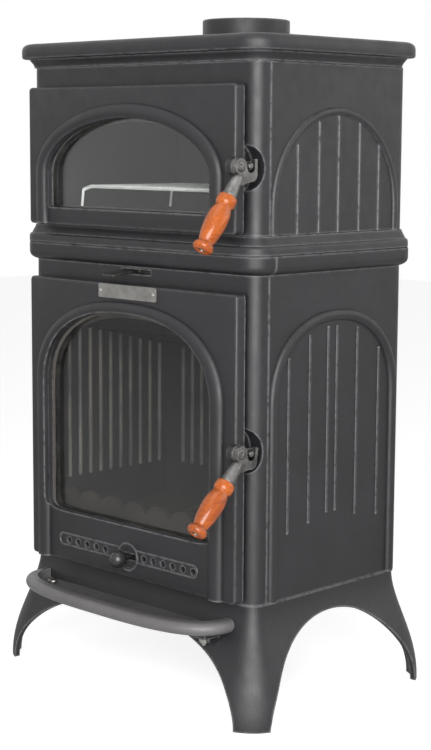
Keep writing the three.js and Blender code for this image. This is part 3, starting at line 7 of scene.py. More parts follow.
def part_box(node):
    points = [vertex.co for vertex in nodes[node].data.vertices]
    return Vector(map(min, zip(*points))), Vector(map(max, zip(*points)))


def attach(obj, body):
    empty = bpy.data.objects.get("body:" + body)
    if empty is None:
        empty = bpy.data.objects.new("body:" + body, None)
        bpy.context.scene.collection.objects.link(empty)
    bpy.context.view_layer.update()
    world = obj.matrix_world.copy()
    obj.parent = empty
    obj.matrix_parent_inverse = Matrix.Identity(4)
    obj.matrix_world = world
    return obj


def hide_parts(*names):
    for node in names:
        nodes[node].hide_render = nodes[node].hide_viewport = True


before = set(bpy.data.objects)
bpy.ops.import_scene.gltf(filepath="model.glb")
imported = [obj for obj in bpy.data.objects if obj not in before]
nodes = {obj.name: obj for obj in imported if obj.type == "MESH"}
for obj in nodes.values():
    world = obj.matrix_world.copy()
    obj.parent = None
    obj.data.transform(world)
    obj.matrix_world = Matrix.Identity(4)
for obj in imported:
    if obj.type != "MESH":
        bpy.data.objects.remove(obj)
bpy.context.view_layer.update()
scene = bpy.context.scene

# The pieces are drawn in millimetres about the middle of the stove's body, then brought to the shared frame.
plateLow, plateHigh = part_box("top_plate")
bodyBack = (plateLow.y + plateHigh.y) / 2
toFrame = Matrix.Translation((0, bodyBack, 0)) @ Matrix.Scale(0.001, 4)
body = dict(halfWide=237.5, halfDeep=155.5, corner=22, wall=9, frontSeam=130, gap=0.3)
gap = body["gap"]
# cutters run past what they cut by overrun, boxes that keep a share of a piece by spare, and what cuts
# through the whole stove runs to farOut
overrun = 1
spare = 5
farOut = 700
print("frame loaded", len(nodes), "nodes")


# camera: the photograph's place, angle and lens
camera = dict(place=(1789, -1809, 814), yaw=44.56, pitch=8.02, roll=0.315, focal=1682.4, frameTall=750)
yaw = math.radians(camera["yaw"])
pitch = math.radians(camera["pitch"])
roll = math.radians(camera["roll"])
ahead = Vector((-math.sin(yaw) * math.cos(pitch), math.cos(yaw) * math.cos(pitch), -math.sin(pitch)))
level = Vector((math.cos(yaw), math.sin(yaw), 0))
above = level.cross(ahead)
right = level * math.cos(roll) + above * math.sin(roll)
up = above * math.cos(roll) - level * math.sin(roll)
cameraData = bpy.data.cameras.new("photoCamera")
cameraData.sensor_fit = "VERTICAL"
cameraData.sensor_height = 36
cameraData.lens = camera["focal"] * 36 / camera["frameTall"]
cameraData.clip_end = 50
cameraObject = bpy.data.objects.new("photoCamera", cameraData)
scene.collection.objects.link(cameraObject)
turn = Matrix((right, up, -ahead)).transposed().to_4x4()
cameraObject.matrix_world = Matrix.Translation(toFrame @ Vector(camera["place"])) @ turn
scene.camera = cameraObject
print("camera placed")


# shader helpers
def newGroup(name, inputs, outputs):
    group = bpy.data.node_groups.new(name, "ShaderNodeTree")
    for label, kind, value in inputs:
        socket = group.interface.new_socket(name=label, in_out="INPUT", socket_type=kind)
        if value is not None:
            socket.default_value = value
    for label, kind in outputs:
        group.interface.new_socket(name=label, in_out="OUTPUT", socket_type=kind)
    start = group.nodes.new("NodeGroupInput")
    end = group.nodes.new("NodeGroupOutput")
    return group, start, end


def mathNode(tree, operation, first, second, clamp=False):
    node = tree.nodes.new("ShaderNodeMath")
    node.operation = operation
    node.use_clamp = clamp
    for index, value in enumerate((first, second)):
        if isinstance(value, (int, float)):
            node.inputs[index].default_value = value
        else:
            tree.links.new(value, node.inputs[index])
    return node.outputs[0]


def noiseNode(tree, vector, scale, detail=3.0, roughness=0.55, distortion=0.0):
    node = tree.nodes.new("ShaderNodeTexNoise")
    node.inputs["Detail"].default_value = detail
    node.inputs["Roughness"].default_value = roughness
    node.inputs["Distortion"].default_value = distortion
    tree.links.new(vector, node.inputs["Vector"])
    if isinstance(scale, (int, float)):
        node.inputs["Scale"].default_value = scale
    else:
        tree.links.new(scale, node.inputs["Scale"])
    return node


def rangeNode(tree, value, low, high, toLow=0.0, toHigh=1.0):
    node = tree.nodes.new("ShaderNodeMapRange")
    tree.links.new(value, node.inputs["Value"])
    node.inputs["From Min"].default_value = low
    node.inputs["From Max"].default_value = high
    node.inputs["To Min"].default_value = toLow
    node.inputs["To Max"].default_value = toHigh
    return node.outputs["Result"]


def mixColor(tree, factor, first, second):
    node = tree.nodes.new("ShaderNodeMix")
    node.data_type = "RGBA"
    for socket, value in (("Factor_Float", factor), ("A_Color", first), ("B_Color", second)):
        target = [i for i in node.inputs if i.identifier == socket][0]
        if isinstance(value, tuple):
            target.default_value = (*value, 1)
        else:
            tree.links.new(value, target)
    return [o for o in node.outputs if o.identifier == "Result_Color"][0]


# sand-cast skin: fine grain, soft waviness and small pits
def makeSandSkin():
    group, start, end = newGroup(
        "sandSkin",
        [("Vector", "NodeSocketVector", None), ("Grain", "NodeSocketFloat", 900.0),
         ("Waves", "NodeSocketFloat", 45.0)],
        [("Height", "NodeSocketFloat"), ("Mottle", "NodeSocketFloat"), ("Sheen", "NodeSocketFloat")],
    )
    grain = noiseNode(group, start.outputs["Vector"], start.outputs["Grain"], 2.0, 0.6)
    waves = noiseNode(group, start.outputs["Vector"], start.outputs["Waves"], 3.0, 0.5)
    broad = noiseNode(group, start.outputs["Vector"], 9.0, 4.0, 0.6)
    pits = group.nodes.new("ShaderNodeTexVoronoi")
    group.links.new(start.outputs["Vector"], pits.inputs["Vector"])
    pits.inputs["Scale"].default_value = 260.0
    pitMask = rangeNode(group, pits.outputs["Distance"], 0.0, 0.35, 0.0, 1.0)
    fine = mathNode(group, "MULTIPLY", grain.outputs["Fac"], 0.55)
    wavy = mathNode(group, "MULTIPLY", waves.outputs["Fac"], 0.9)
    both = mathNode(group, "ADD", fine, wavy)
    pitted = mathNode(group, "MULTIPLY", pitMask, 0.3)
    height = mathNode(group, "ADD", both, pitted)
    group.links.new(height, end.inputs["Height"])
    mottle = rangeNode(group, broad.outputs["Fac"], 0.3, 0.7)
    speckle = rangeNode(group, grain.outputs["Fac"], 0.35, 0.7)
    mottled = mathNode(group, "MULTIPLY", mottle, 0.6)
    speckled = mathNode(group, "MULTIPLY", speckle, 0.4)
    group.links.new(mathNode(group, "ADD", mottled, speckled, True), end.inputs["Mottle"])
    group.links.new(rangeNode(group, waves.outputs["Fac"], 0.3, 0.7), end.inputs["Sheen"])
    return group


# worn edges with a painted highlight: light grey where the rounded normal leaves the true one
def makeEdgeWearAndHighlight():
    group, start, end = newGroup(
        "edgeWearAndHighlight",
        [("Vector", "NodeSocketVector", None), ("Breakup", "NodeSocketFloat", 120.0)],
        [("Mask", "NodeSocketFloat")],
    )
    geometry = group.nodes.new("ShaderNodeNewGeometry")
    rounded = group.nodes.new("ShaderNodeBevel")
    rounded.samples = 4
    rounded.inputs["Radius"].default_value = 0.005
    dot = group.nodes.new("ShaderNodeVectorMath")
    dot.operation = "DOT_PRODUCT"
    group.links.new(geometry.outputs["Normal"], dot.inputs[0])
    group.links.new(rounded.outputs["Normal"], dot.inputs[1])
    edge = rangeNode(group, dot.outputs["Value"], 0.995, 0.84)
    breakup = noiseNode(group, start.outputs["Vector"], start.outputs["Breakup"], 3.0)
    broken = rangeNode(group, breakup.outputs["Fac"], 0.28, 0.52)
    group.links.new(mathNode(group, "MULTIPLY", edge, broken, True), end.inputs["Mask"])
    return group


# turned wood: long grain, pores and slow colour drift, along the local X of the vector
def makeWoodGrain():
    group, start, end = newGroup(
        "woodGrain",
        [("Vector", "NodeSocketVector", None), ("Stretch", "NodeSocketFloat", 0.07)],
        [("Grain", "NodeSocketFloat"), ("Pores", "NodeSocketFloat"), ("Drift", "NodeSocketFloat")],
    )
    mapping = group.nodes.new("ShaderNodeMapping")
    combine = group.nodes.new("ShaderNodeCombineXYZ")
    combine.inputs["Y"].default_value = 1.0
    combine.inputs["Z"].default_value = 1.0
    group.links.new(start.outputs["Stretch"], combine.inputs["X"])
    group.links.new(start.outputs["Vector"], mapping.inputs["Vector"])
    group.links.new(combine.outputs["Vector"], mapping.inputs["Scale"])
    grain = noiseNode(group, mapping.outputs["Vector"], 260.0, 4.0, 0.6, 0.4)
    pores = noiseNode(group, mapping.outputs["Vector"], 900.0, 2.0, 0.5)
    drift = noiseNode(group, start.outputs["Vector"], 22.0, 2.0)
    group.links.new(rangeNode(group, grain.outputs["Fac"], 0.3, 0.7), end.inputs["Grain"])
    group.links.new(rangeNode(group, pores.outputs["Fac"], 0.52, 0.72), end.inputs["Pores"])
    group.links.new(rangeNode(group, drift.outputs["Fac"], 0.3, 0.7), end.inputs["Drift"])
    return group


# soot and ash: broad clouds over fine crumbs
def makeSoot():
    group, start, end = newGroup(
        "soot",
        [("Vector", "NodeSocketVector", None), ("Clouds", "NodeSocketFloat", 18.0)],
        [("Mask", "NodeSocketFloat"), ("Height", "NodeSocketFloat")],
    )
    clouds = noiseNode(group, start.outputs["Vector"], start.outputs["Clouds"], 5.0, 0.65, 0.3)
    crumbs = noiseNode(group, start.outputs["Vector"], 420.0, 3.0, 0.6)
    group.links.new(rangeNode(group, clouds.outputs["Fac"], 0.38, 0.66), end.inputs["Mask"])
    group.links.new(crumbs.outputs["Fac"], end.inputs["Height"])
    return group


# brushed or drawn metal: streaks along the local X of the vector
def makeStreaks():
    group, start, end = newGroup(
        "streaks",
        [("Vector", "NodeSocketVector", None), ("Scale", "NodeSocketFloat", 700.0)],
        [("Line", "NodeSocketFloat"), ("Stain", "NodeSocketFloat")],
    )
    mapping = group.nodes.new("ShaderNodeMapping")
    mapping.inputs["Scale"].default_value = (0.03, 1.0, 1.0)
    group.links.new(start.outputs["Vector"], mapping.inputs["Vector"])
    line = noiseNode(group, mapping.outputs["Vector"], start.outputs["Scale"], 2.0, 0.5)
    stain = noiseNode(group, start.outputs["Vector"], 60.0, 4.0, 0.6)
    group.links.new(rangeNode(group, line.outputs["Fac"], 0.3, 0.7), end.inputs["Line"])
    group.links.new(rangeNode(group, stain.outputs["Fac"], 0.35, 0.7), end.inputs["Stain"])
    return group


# braided cord: crossed strands
def makeBraid():
    group, start, end = newGroup(
        "braid",
        [("Vector", "NodeSocketVector", None), ("Strands", "NodeSocketFloat", 380.0)],
        [("Height", "NodeSocketFloat")],
    )
    total = None
    for lean in (0.78, -0.78):
        mapping = group.nodes.new("ShaderNodeMapping")
        mapping.inputs["Rotation"].default_value = (0.6, lean, lean)
        group.links.new(start.outputs["Vector"], mapping.inputs["Vector"])
        wave = group.nodes.new("ShaderNodeTexWave")
        group.links.new(mapping.outputs["Vector"], wave.inputs["Vector"])
        group.links.new(start.outputs["Strands"], wave.inputs["Scale"])
        wave.inputs["Distortion"].default_value = 0.6
        strands = wave.outputs["Fac"]
        total = strands if total is None else mathNode(group, "MAXIMUM", total, strands)
    group.links.new(total, end.inputs["Height"])
    return group


groups = dict(
    sandSkin=makeSandSkin(),
    edgeWearAndHighlight=makeEdgeWearAndHighlight(),
    woodGrain=makeWoodGrain(),
    soot=makeSoot(),
    streaks=makeStreaks(),
    braid=makeBraid(),
)


def newMaterial(name):
    material = bpy.data.materials.new(name)
    material.use_nodes = True
    tree = material.node_tree
    shader = tree.nodes["Principled BSDF"]
    coordinates = tree.nodes.new("ShaderNodeTexCoord")
    return material, tree, shader, coordinates.outputs["Object"]


def placeGroup(tree, name, vector, **values):
    node = tree.nodes.new("ShaderNodeGroup")
    node.node_tree = groups[name]
    tree.links.new(vector, node.inputs["Vector"])
    for label, value in values.items():
        node.inputs[label.capitalize()].default_value = value
    return node


def bumpFrom(tree, shader, height, strength, distance):
    bump = tree.nodes.new("ShaderNodeBump")
    bump.inputs["Strength"].default_value = strength
    bump.inputs["Distance"].default_value = distance
    tree.links.new(height, bump.inputs["Height"])
    tree.links.new(bump.outputs["Normal"], shader.inputs["Normal"])


def srgb(red, green, blue):
    values = []
    for value in (red, green, blue):
        share = value / 255
        values.append(share / 12.92 if share <= 0.04045 else ((share + 0.055) / 1.055) ** 2.4)
    return tuple(values)


# the worn colour is a light grey on every edge: partly paint rubbed to bare iron, partly a painted highlight
ironPaint = dict(dark=srgb(23, 22, 24), light=srgb(36, 35, 38), wornAndHighlit=srgb(128, 127, 129), grain=820.0,
                 waves=45.0, relief=0.8, depth=0.0005, rough=(0.38, 0.52), wearAndHighlight=0.8, gloss=0.48)


def makeIronPaint(name, look):
    material, tree, shader, vector = newMaterial(name)
    skin = placeGroup(tree, "sandSkin", vector, grain=look["grain"], waves=look["waves"])
    wearAndHighlight = placeGroup(tree, "edgeWearAndHighlight", vector)
    base = mixColor(tree, skin.outputs["Mottle"], look["dark"], look["light"])
    # edges are mixed towards that light grey: worn paint and painted highlight
    amount = mathNode(tree, "MULTIPLY", wearAndHighlight.outputs["Mask"], look["wearAndHighlight"])
    tree.links.new(mixColor(tree, amount, base, look["wornAndHighlit"]), shader.inputs["Base Color"])
    tree.links.new(rangeNode(tree, skin.outputs["Sheen"], 0, 1, *look["rough"]), shader.inputs["Roughness"])
    shader.inputs["Specular IOR Level"].default_value = look["gloss"]
    bumpFrom(tree, shader, skin.outputs["Height"], look["relief"], look["depth"])
    return material


sootIron = dict(dark=srgb(24, 22, 21), light=srgb(54, 48, 43), clouds=14.0, relief=0.3, depth=0.0005,
                rough=(0.72, 0.95))


def makeSooted(name, look):
    material, tree, shader, vector = newMaterial(name)
    soot = placeGroup(tree, "soot", vector, clouds=look["clouds"])
    tree.links.new(mixColor(tree, soot.outputs["Mask"], look["dark"], look["light"]),
                   shader.inputs["Base Color"])
    tree.links.new(rangeNode(tree, soot.outputs["Mask"], 0, 1, *look["rough"]), shader.inputs["Roughness"])
    shader.inputs["Specular IOR Level"].default_value = 0.1
    bumpFrom(tree, shader, soot.outputs["Height"], look["relief"], look["depth"])
    return material


brightMetal = dict(dark=srgb(118, 116, 113), light=srgb(176, 174, 170), scale=700.0, rough=(0.28, 0.46),
                   metallic=1.0, relief=0.12, depth=0.0001)


def makeMetal(name, look):
    material, tree, shader, vector = newMaterial(name)
    streaks = placeGroup(tree, "streaks", vector, scale=look["scale"])
    tree.links.new(mixColor(tree, streaks.outputs["Stain"], look["dark"], look["light"]),
                   shader.inputs["Base Color"])
    tree.links.new(rangeNode(tree, streaks.outputs["Stain"], 0, 1, *look["rough"]),
                   shader.inputs["Roughness"])
    shader.inputs["Metallic"].default_value = look["metallic"]
    bumpFrom(tree, shader, streaks.outputs["Line"], look["relief"], look["depth"])
    return material


gripWood = dict(dark=srgb(124, 52, 12), light=srgb(194, 98, 26), pore=srgb(138, 58, 16), stretch=0.07,
                pores=0.18)


def makeWood(name, look, lean):
    material, tree, shader, vector = newMaterial(name)
    mapping = tree.nodes.new("ShaderNodeMapping")
    mapping.inputs["Rotation"].default_value = (0, math.pi / 2 + lean, math.pi / 2)
    tree.links.new(vector, mapping.inputs["Vector"])
    grain = placeGroup(tree, "woodGrain", mapping.outputs["Vector"], stretch=look["stretch"])
    drifted = mathNode(tree, "MULTIPLY", grain.outputs["Drift"], 0.45)
    grained = mathNode(tree, "MULTIPLY", grain.outputs["Grain"], 0.55)
    tone = mathNode(tree, "ADD", drifted, grained, True)
    base = mixColor(tree, tone, look["dark"], look["light"])
    pores = mathNode(tree, "MULTIPLY", grain.outputs["Pores"], look["pores"])
    tree.links.new(mixColor(tree, pores, base, look["pore"]), shader.inputs["Base Color"])
    tree.links.new(rangeNode(tree, grain.outputs["Grain"], 0, 1, 0.34, 0.26), shader.inputs["Roughness"])
    shader.inputs["Specular IOR Level"].default_value = 0.2
    shader.inputs["Coat Weight"].default_value = 0.6
    shader.inputs["Coat Roughness"].default_value = 0.03
    bumpFrom(tree, shader, grain.outputs["Grain"], 0.15, 0.0002)
    return material


plateFinish = dict(dark=srgb(122, 121, 118), light=srgb(146, 144, 141), scale=900.0, rough=(0.36, 0.5),
                   metallic=0.6, relief=0.1, depth=0.0001)
ropeLook = dict(dark=srgb(52, 49, 46), light=srgb(98, 94, 88), strands=380.0)


def makeRope(name, look):
    material, tree, shader, vector = newMaterial(name)
    braid = placeGroup(tree, "braid", vector, strands=look["strands"])
    # the colour follows the braid's height, darker in the grooves between strands: painted shade
    tree.links.new(mixColor(tree, braid.outputs["Height"], look["dark"], look["light"]),
                   shader.inputs["Base Color"])
    shader.inputs["Roughness"].default_value = 0.95
    bumpFrom(tree, shader, braid.outputs["Height"], 0.8, 0.0008)
    return material


knobLook = dict(color=srgb(46, 46, 48), rough=(0.16, 0.34))


def makeKnob(name, look):
    material, tree, shader, vector = newMaterial(name)
    scuffs = placeGroup(tree, "streaks", vector, scale=500.0)
    tree.links.new(mixColor(tree, scuffs.outputs["Stain"], look["color"], srgb(34, 34, 35)),
                   shader.inputs["Base Color"])
    tree.links.new(rangeNode(tree, scuffs.outputs["Stain"], 0, 1, *look["rough"]), shader.inputs["Roughness"])
    bumpFrom(tree, shader, scuffs.outputs["Line"], 0.05, 0.0001)
    return material


glassLook = dict(tint=(0.82, 0.83, 0.82), rough=(0.0, 0.0), gloss=0.04)


def makeGlass(name, look):
    material, tree, shader, vector = newMaterial(name)
    haze = placeGroup(tree, "soot", vector, clouds=7.0)
    shader.inputs["Transmission Weight"].default_value = 1.0
    shader.inputs["IOR"].default_value = 1.46
    shader.inputs["Specular IOR Level"].default_value = look["gloss"]
    shader.inputs["Base Color"].default_value = (*look["tint"], 1)
    tree.links.new(rangeNode(tree, haze.outputs["Mask"], 0, 1, *look["rough"]), shader.inputs["Roughness"])
    # light falls through to what stands behind the pane
    clear = tree.nodes.new("ShaderNodeBsdfTransparent")
    clear.inputs["Color"].default_value = (*look["tint"], 1)
    paths = tree.nodes.new("ShaderNodeLightPath")
    mixed = tree.nodes.new("ShaderNodeMixShader")
    tree.links.new(paths.outputs["Is Shadow Ray"], mixed.inputs["Fac"])
    tree.links.new(shader.outputs["BSDF"], mixed.inputs[1])
    tree.links.new(clear.outputs["BSDF"], mixed.inputs[2])
    tree.links.new(mixed.outputs["Shader"], tree.nodes["Material Output"].inputs["Surface"])
    return material


materials = dict(
    iron=makeIronPaint("paintedIron", ironPaint),
    # the ash lip takes a lighter copy of the iron paint: painted light on its upward-facing tray and rim
    lip=makeIronPaint("lipPaintWithPaintedLight", dict(ironPaint, dark=srgb(84, 82, 83), light=srgb(112, 110, 110),
                                       rough=(0.34, 0.48))),
    sooted=makeSooted("sootedIron", sootIron),
    # the liner boards and the baffle are a darker copy of the sooted iron: painted shade between the ribs and
    # inside the firebox
    liner=makeSooted("linerBoardPaintedShade", dict(sootIron, dark=srgb(20, 18, 20), light=srgb(34, 31, 32), clouds=10.0,
                                        relief=0.2)),
    # the ribs are a lighter copy of the same sooted iron: painted highlight on their crests
    linerRibPaintedHighlight=makeSooted("linerCrestPaintedHighlight", dict(sootIron, dark=srgb(62, 59, 58), light=srgb(104, 99, 95),
                                           clouds=10.0, relief=0.2)),
    ovenWall=makeSooted("ovenSheet", dict(sootIron, dark=srgb(30, 29, 31), light=srgb(46, 45, 48), clouds=5.0,
                                          relief=0.1)),
    # the rack wire is near-white plain paint, not metallic: a painted reflection standing in for its chrome
    wirePaintedHighlight=makeMetal("rackWirePaintedHighlight", dict(brightMetal, dark=srgb(236, 236, 235), light=srgb(250, 250, 249),
                                      rough=(0.2, 0.3), metallic=0.0)),
    lever=makeMetal("leverMetal", dict(brightMetal, dark=srgb(92, 91, 90), light=srgb(138, 137, 135),
                                       rough=(0.34, 0.5))),
    zinc=makeMetal("zincPlate", dict(brightMetal, dark=srgb(150, 149, 146), light=srgb(202, 200, 196),
                                     rough=(0.2, 0.34))),
    sheet=makeMetal("sheetSteel", dict(brightMetal, dark=srgb(70, 68, 66), light=srgb(108, 106, 103),
                                       rough=(0.45, 0.6))),
    plate=makeMetal("namePlateMetal", plateFinish),
    rope=makeRope("fibreRope", ropeLook),
    knob=makeKnob("knobPhenolic", knobLook),
    glass=makeGlass("stoveGlass", glassLook),
    ovenGrip=makeWood("ovenGripWood", gripWood, math.radians(36)),
    fireboxGrip=makeWood("fireboxGripWood", gripWood, math.radians(44.3)),
)
print("materials made", len(materials))


# mesh helpers
def objectFrom(name, bm):
    mesh = bpy.data.meshes.new(name)
    bm.to_mesh(mesh)
    bm.free()
    made = bpy.data.objects.new(name, mesh)
    scene.collection.objects.link(made)
    return made


def carve(bm, cutters, operation="DIFFERENCE"):
    carved = objectFrom("carved", bm)
    tools = []
    for cutter in cutters:
        tool = objectFrom("cutter", cutter)
        tools.append(tool)
        modifier = carved.modifiers.new("carve", "BOOLEAN")
        modifier.operation = operation
        modifier.object = tool
        modifier.solver = "MANIFOLD"
    bpy.context.view_layer.update()
    shown = carved.evaluated_get(bpy.context.evaluated_depsgraph_get())
    result = bmesh.new()
    result.from_mesh(shown.to_mesh())
    shown.to_mesh_clear()
    for tool in tools + [carved]:
        mesh = tool.data
        bpy.data.objects.remove(tool)
        bpy.data.meshes.remove(mesh)
    return result


def finishPiece(name, bm, finish, bodyName, stands=(), edge=0.0, edgeSteps=2, angle=32, tidy=True):
    if tidy:
        bmesh.ops.remove_doubles(bm, verts=bm.verts, dist=0.002)
        bmesh.ops.dissolve_limit(bm, angle_limit=math.radians(0.4), verts=bm.verts, edges=bm.edges)
    bmesh.ops.transform(bm, matrix=toFrame, verts=bm.verts)
    for face in bm.faces:
        face.smooth = True
    if edge == 0:
        for line in bm.edges:
            if len(line.link_faces) == 2 and line.calc_face_angle(0) > math.radians(angle):
                line.smooth = False
    made = objectFrom(name, bm)
    made.data.materials.append(materials[finish])
    if edge > 0:
        modifier = made.modifiers.new("edges", "BEVEL")
        modifier.limit_method = "ANGLE"
        modifier.angle_limit = math.radians(angle)
        modifier.width = edge / 1000
        modifier.segments = edgeSteps
        modifier.profile = 0.5
        modifier.harden_normals = True
        modifier.use_clamp_overlap = True
        modifier.miter_outer = "MITER_ARC"
    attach(made, bodyName)
    if stands:
        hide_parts(*stands)
    return made


def place(bm, matrix):
    bmesh.ops.transform(bm, matrix=matrix, verts=bm.verts)
    if matrix.determinant() < 0:
        bmesh.ops.reverse_faces(bm, faces=bm.faces)
    return bm


def boxPiece(x0, y0, z0, x1, y1, z1):
    bm = bmesh.new()
    bmesh.ops.create_cube(bm, size=1)
    size = Matrix.Diagonal((x1 - x0, y1 - y0, z1 - z0, 1))
    return place(bm, Matrix.Translation(((x0 + x1) / 2, (y0 + y1) / 2, (z0 + z1) / 2)) @ size)


axisTurns = dict(
    X=Matrix.Rotation(math.pi / 2, 4, "Y"),
    Y=Matrix.Rotation(-math.pi / 2, 4, "X"),
    Z=Matrix.Identity(4),
)


def rod(axis, radius, start, end, across, along, segments=48, radiusEnd=None):
    bm = bmesh.new()
    radiusEnd = radius if radiusEnd is None else radiusEnd
    bmesh.ops.create_cone(bm, cap_ends=True, segments=segments, radius1=radius, radius2=radiusEnd,
                          depth=end - start)
    middle = (start + end) / 2
    spot = dict(X=(middle, across, along), Y=(across, middle, along), Z=(across, along, middle))[axis]
    return place(bm, Matrix.Translation(spot) @ axisTurns[axis])


def roundedRectangle(x0, y0, x1, y1, corner, steps=10):
    bm = bmesh.new()
    bmesh.ops.create_grid(bm, x_segments=1, y_segments=1, size=0.5)
    size = Matrix.Diagonal((x1 - x0, y1 - y0, 1, 1))
    place(bm, Matrix.Translation(((x0 + x1) / 2, (y0 + y1) / 2, 0)) @ size)
    if corner > 0:
        bmesh.ops.bevel(bm, geom=bm.verts, offset=corner, affect="VERTICES", segments=steps, profile=0.5,
                        material=-1)
    return bm


def drawUp(bm, thick):
    faces = list(bm.faces)
    made = bmesh.ops.extrude_face_region(bm, geom=faces)
    moved = [item for item in made["geom"] if isinstance(item, bmesh.types.BMVert)]
    bmesh.ops.translate(bm, verts=moved, vec=(0, 0, thick))
    bmesh.ops.recalc_face_normals(bm, faces=bm.faces)
    return bm


frontTurn = Matrix.Rotation(math.pi / 2, 4, "X")


# an outline in X and Z drawn towards the front, or in Y and Z drawn towards +X
def frontwise(outline, back, thick):
    return place(drawUp(outline, thick), Matrix.Translation((0, back, 0)) @ frontTurn)


sideAxes = Matrix(((0, 0, 1, 0), (1, 0, 0, 0), (0, 1, 0, 0), (0, 0, 0, 1)))


def sidewise(outline, start, thick):
    return place(drawUp(outline, thick), Matrix.Translation((start, 0, 0)) @ sideAxes)


def planwise(outline, bottom, thick):
    return place(drawUp(outline, thick), Matrix.Translation((0, 0, bottom)))


# bends a circle's coordinate: a curve of 2 leaves it round, and squareCurve makes it square
squareCurve = 60


def power(value, curve):
    return math.copysign(abs(value) ** (2 / curve), value)


def gather(pieces):
    bm = bmesh.new()
    for piece in pieces:
        mesh = bpy.data.meshes.new("piece")
        piece.to_mesh(mesh)
        piece.free()
        bm.from_mesh(mesh)
        bpy.data.meshes.remove(mesh)
    return bm


# a rounded rectangle carried upwards through levels of height, half width, half depth and corner
def loft(levels, steps=10):
    height, wide, deep, corner = levels[0]
    bm = roundedRectangle(-wide, -deep, wide, deep, corner, steps)
    bmesh.ops.translate(bm, verts=bm.verts, vec=(0, 0, height))
    shares = bm.verts.layers.float_vector.new("share")
    for vert in bm.verts:
        across = (abs(vert.co.x) - wide + corner) / corner
        along = (abs(vert.co.y) - deep + corner) / corner
        vert[shares] = (math.copysign(max(across, 0), vert.co.x), math.copysign(max(along, 0), vert.co.y), 0)
    cap = list(bm.faces)
    for index, (height, wide, deep, corner) in enumerate(levels[1:]):
        made = bmesh.ops.extrude_face_region(bm, geom=cap)
        if index > 0:
            bmesh.ops.delete(bm, geom=cap, context="FACES_ONLY")
        cap = [item for item in made["geom"] if isinstance(item, bmesh.types.BMFace)]
        for vert in [item for item in made["geom"] if isinstance(item, bmesh.types.BMVert)]:
            share = vert[shares]
            signX = math.copysign(1, share.x)
            signY = math.copysign(1, share.y)
            vert.co.x = signX * (wide - corner) + share.x * corner
            vert.co.y = signY * (deep - corner) + share.y * corner
            vert.co.z = height
    bmesh.ops.recalc_face_normals(bm, faces=bm.faces)
    return bm


def bodyLevel(height, out=0.0, corner=None):
    corner = body["corner"] + max(out, 0) if corner is None else corner
    return (height, body["halfWide"] + out, body["halfDeep"] + out, corner)


def moulding(levels):
    return loft([bodyLevel(height, out) for height, out in levels])


# a closed arch outline: the crown is one curve, and the foot a rounded sill with a curve across and one up
def archFace(arch, grow=0.0, foot=None, sill=(40, 16)):
    wide = arch["halfWide"] + grow
    rise = arch["rise"] + grow
    bottom = (arch["foot"] if foot is None else foot) - grow
    bm = bmesh.new()
    bmesh.ops.create_circle(bm, cap_ends=True, radius=1, segments=96)
    for vert in bm.verts:
        if vert.co.y >= -1e-6:
            vert.co.x = arch["middle"] + wide * power(vert.co.x, arch["curve"])
            vert.co.y = arch["spring"] + rise * power(max(vert.co.y, 0), arch["curve"])
        else:
            vert.co.x = arch["middle"] + wide * power(vert.co.x, sill[0])
            vert.co.y = arch["spring"] + (arch["spring"] - bottom) * power(vert.co.y, sill[1])
    bmesh.ops.recalc_face_normals(bm, faces=bm.faces)
    return bm


# draws a chain of edges out through stations; lay puts a station's verts in place
def carryThrough(bm, chain, stations, lay):
    lay(bm.verts, *stations[0])
    for station in stations[1:]:
        made = bmesh.ops.extrude_edge_only(bm, edges=chain)
        moved = [item for item in made["geom"] if isinstance(item, bmesh.types.BMVert)]
        chain = [e for e in made["geom"] if isinstance(e, bmesh.types.BMEdge) and set(e.verts) <= set(moved)]
        lay(moved, *station)
    return chain


# a moulding carried along an open arch with straight legs; its profile runs inwards and out from the face
def archBand(arch, foot, profile, segments=64):
    bm = bmesh.new()
    bmesh.ops.create_circle(bm, cap_ends=False, radius=1, segments=segments * 2)
    bmesh.ops.delete(bm, geom=[v for v in bm.verts if v.co.y < -1e-6], context="VERTS")
    places = bm.verts.layers.float_vector.new("place")
    for vert in bm.verts:
        vert[places] = (vert.co.x, max(vert.co.y, 0), 0)
    ends = [v for v in bm.verts if len(v.link_edges) == 1]
    made = bmesh.ops.extrude_vert_indiv(bm, verts=ends)
    for vert in made["verts"]:
        vert[places] = (vert.co.x, -1, 0)
    chain = list(bm.edges)

    def lay(verts, inwards, outwards):
        for vert in verts:
            spot = vert[places]
            wide = arch["halfWide"] - inwards
            rise = arch["rise"] - inwards * arch["topShare"]
            if spot.y < 0:
                vert.co = (arch["middle"] + math.copysign(wide, spot.x), foot, outwards)
            else:
                across = arch["middle"] + wide * power(spot.x, arch["curve"])
                vert.co = (across, arch["spring"] + rise * power(spot.y, arch["curve"]), outwards)

    last = carryThrough(bm, chain, profile, lay)
    bmesh.ops.bridge_loops(bm, edges=chain + last)
    bmesh.ops.holes_fill(bm, edges=[e for e in bm.edges if len(e.link_faces) < 2])
    bmesh.ops.recalc_face_normals(bm, faces=bm.faces)
    return bm


def roundProfile(wide, proud, sunk, steps=10):
    stations = [(0, -sunk)]
    for index in range(steps + 1):
        turnShare = math.pi * index / steps
        stations.append((wide / 2 * (1 - math.cos(turnShare)), proud * math.sin(turnShare)))
    stations.append((wide, -sunk))
    return stations


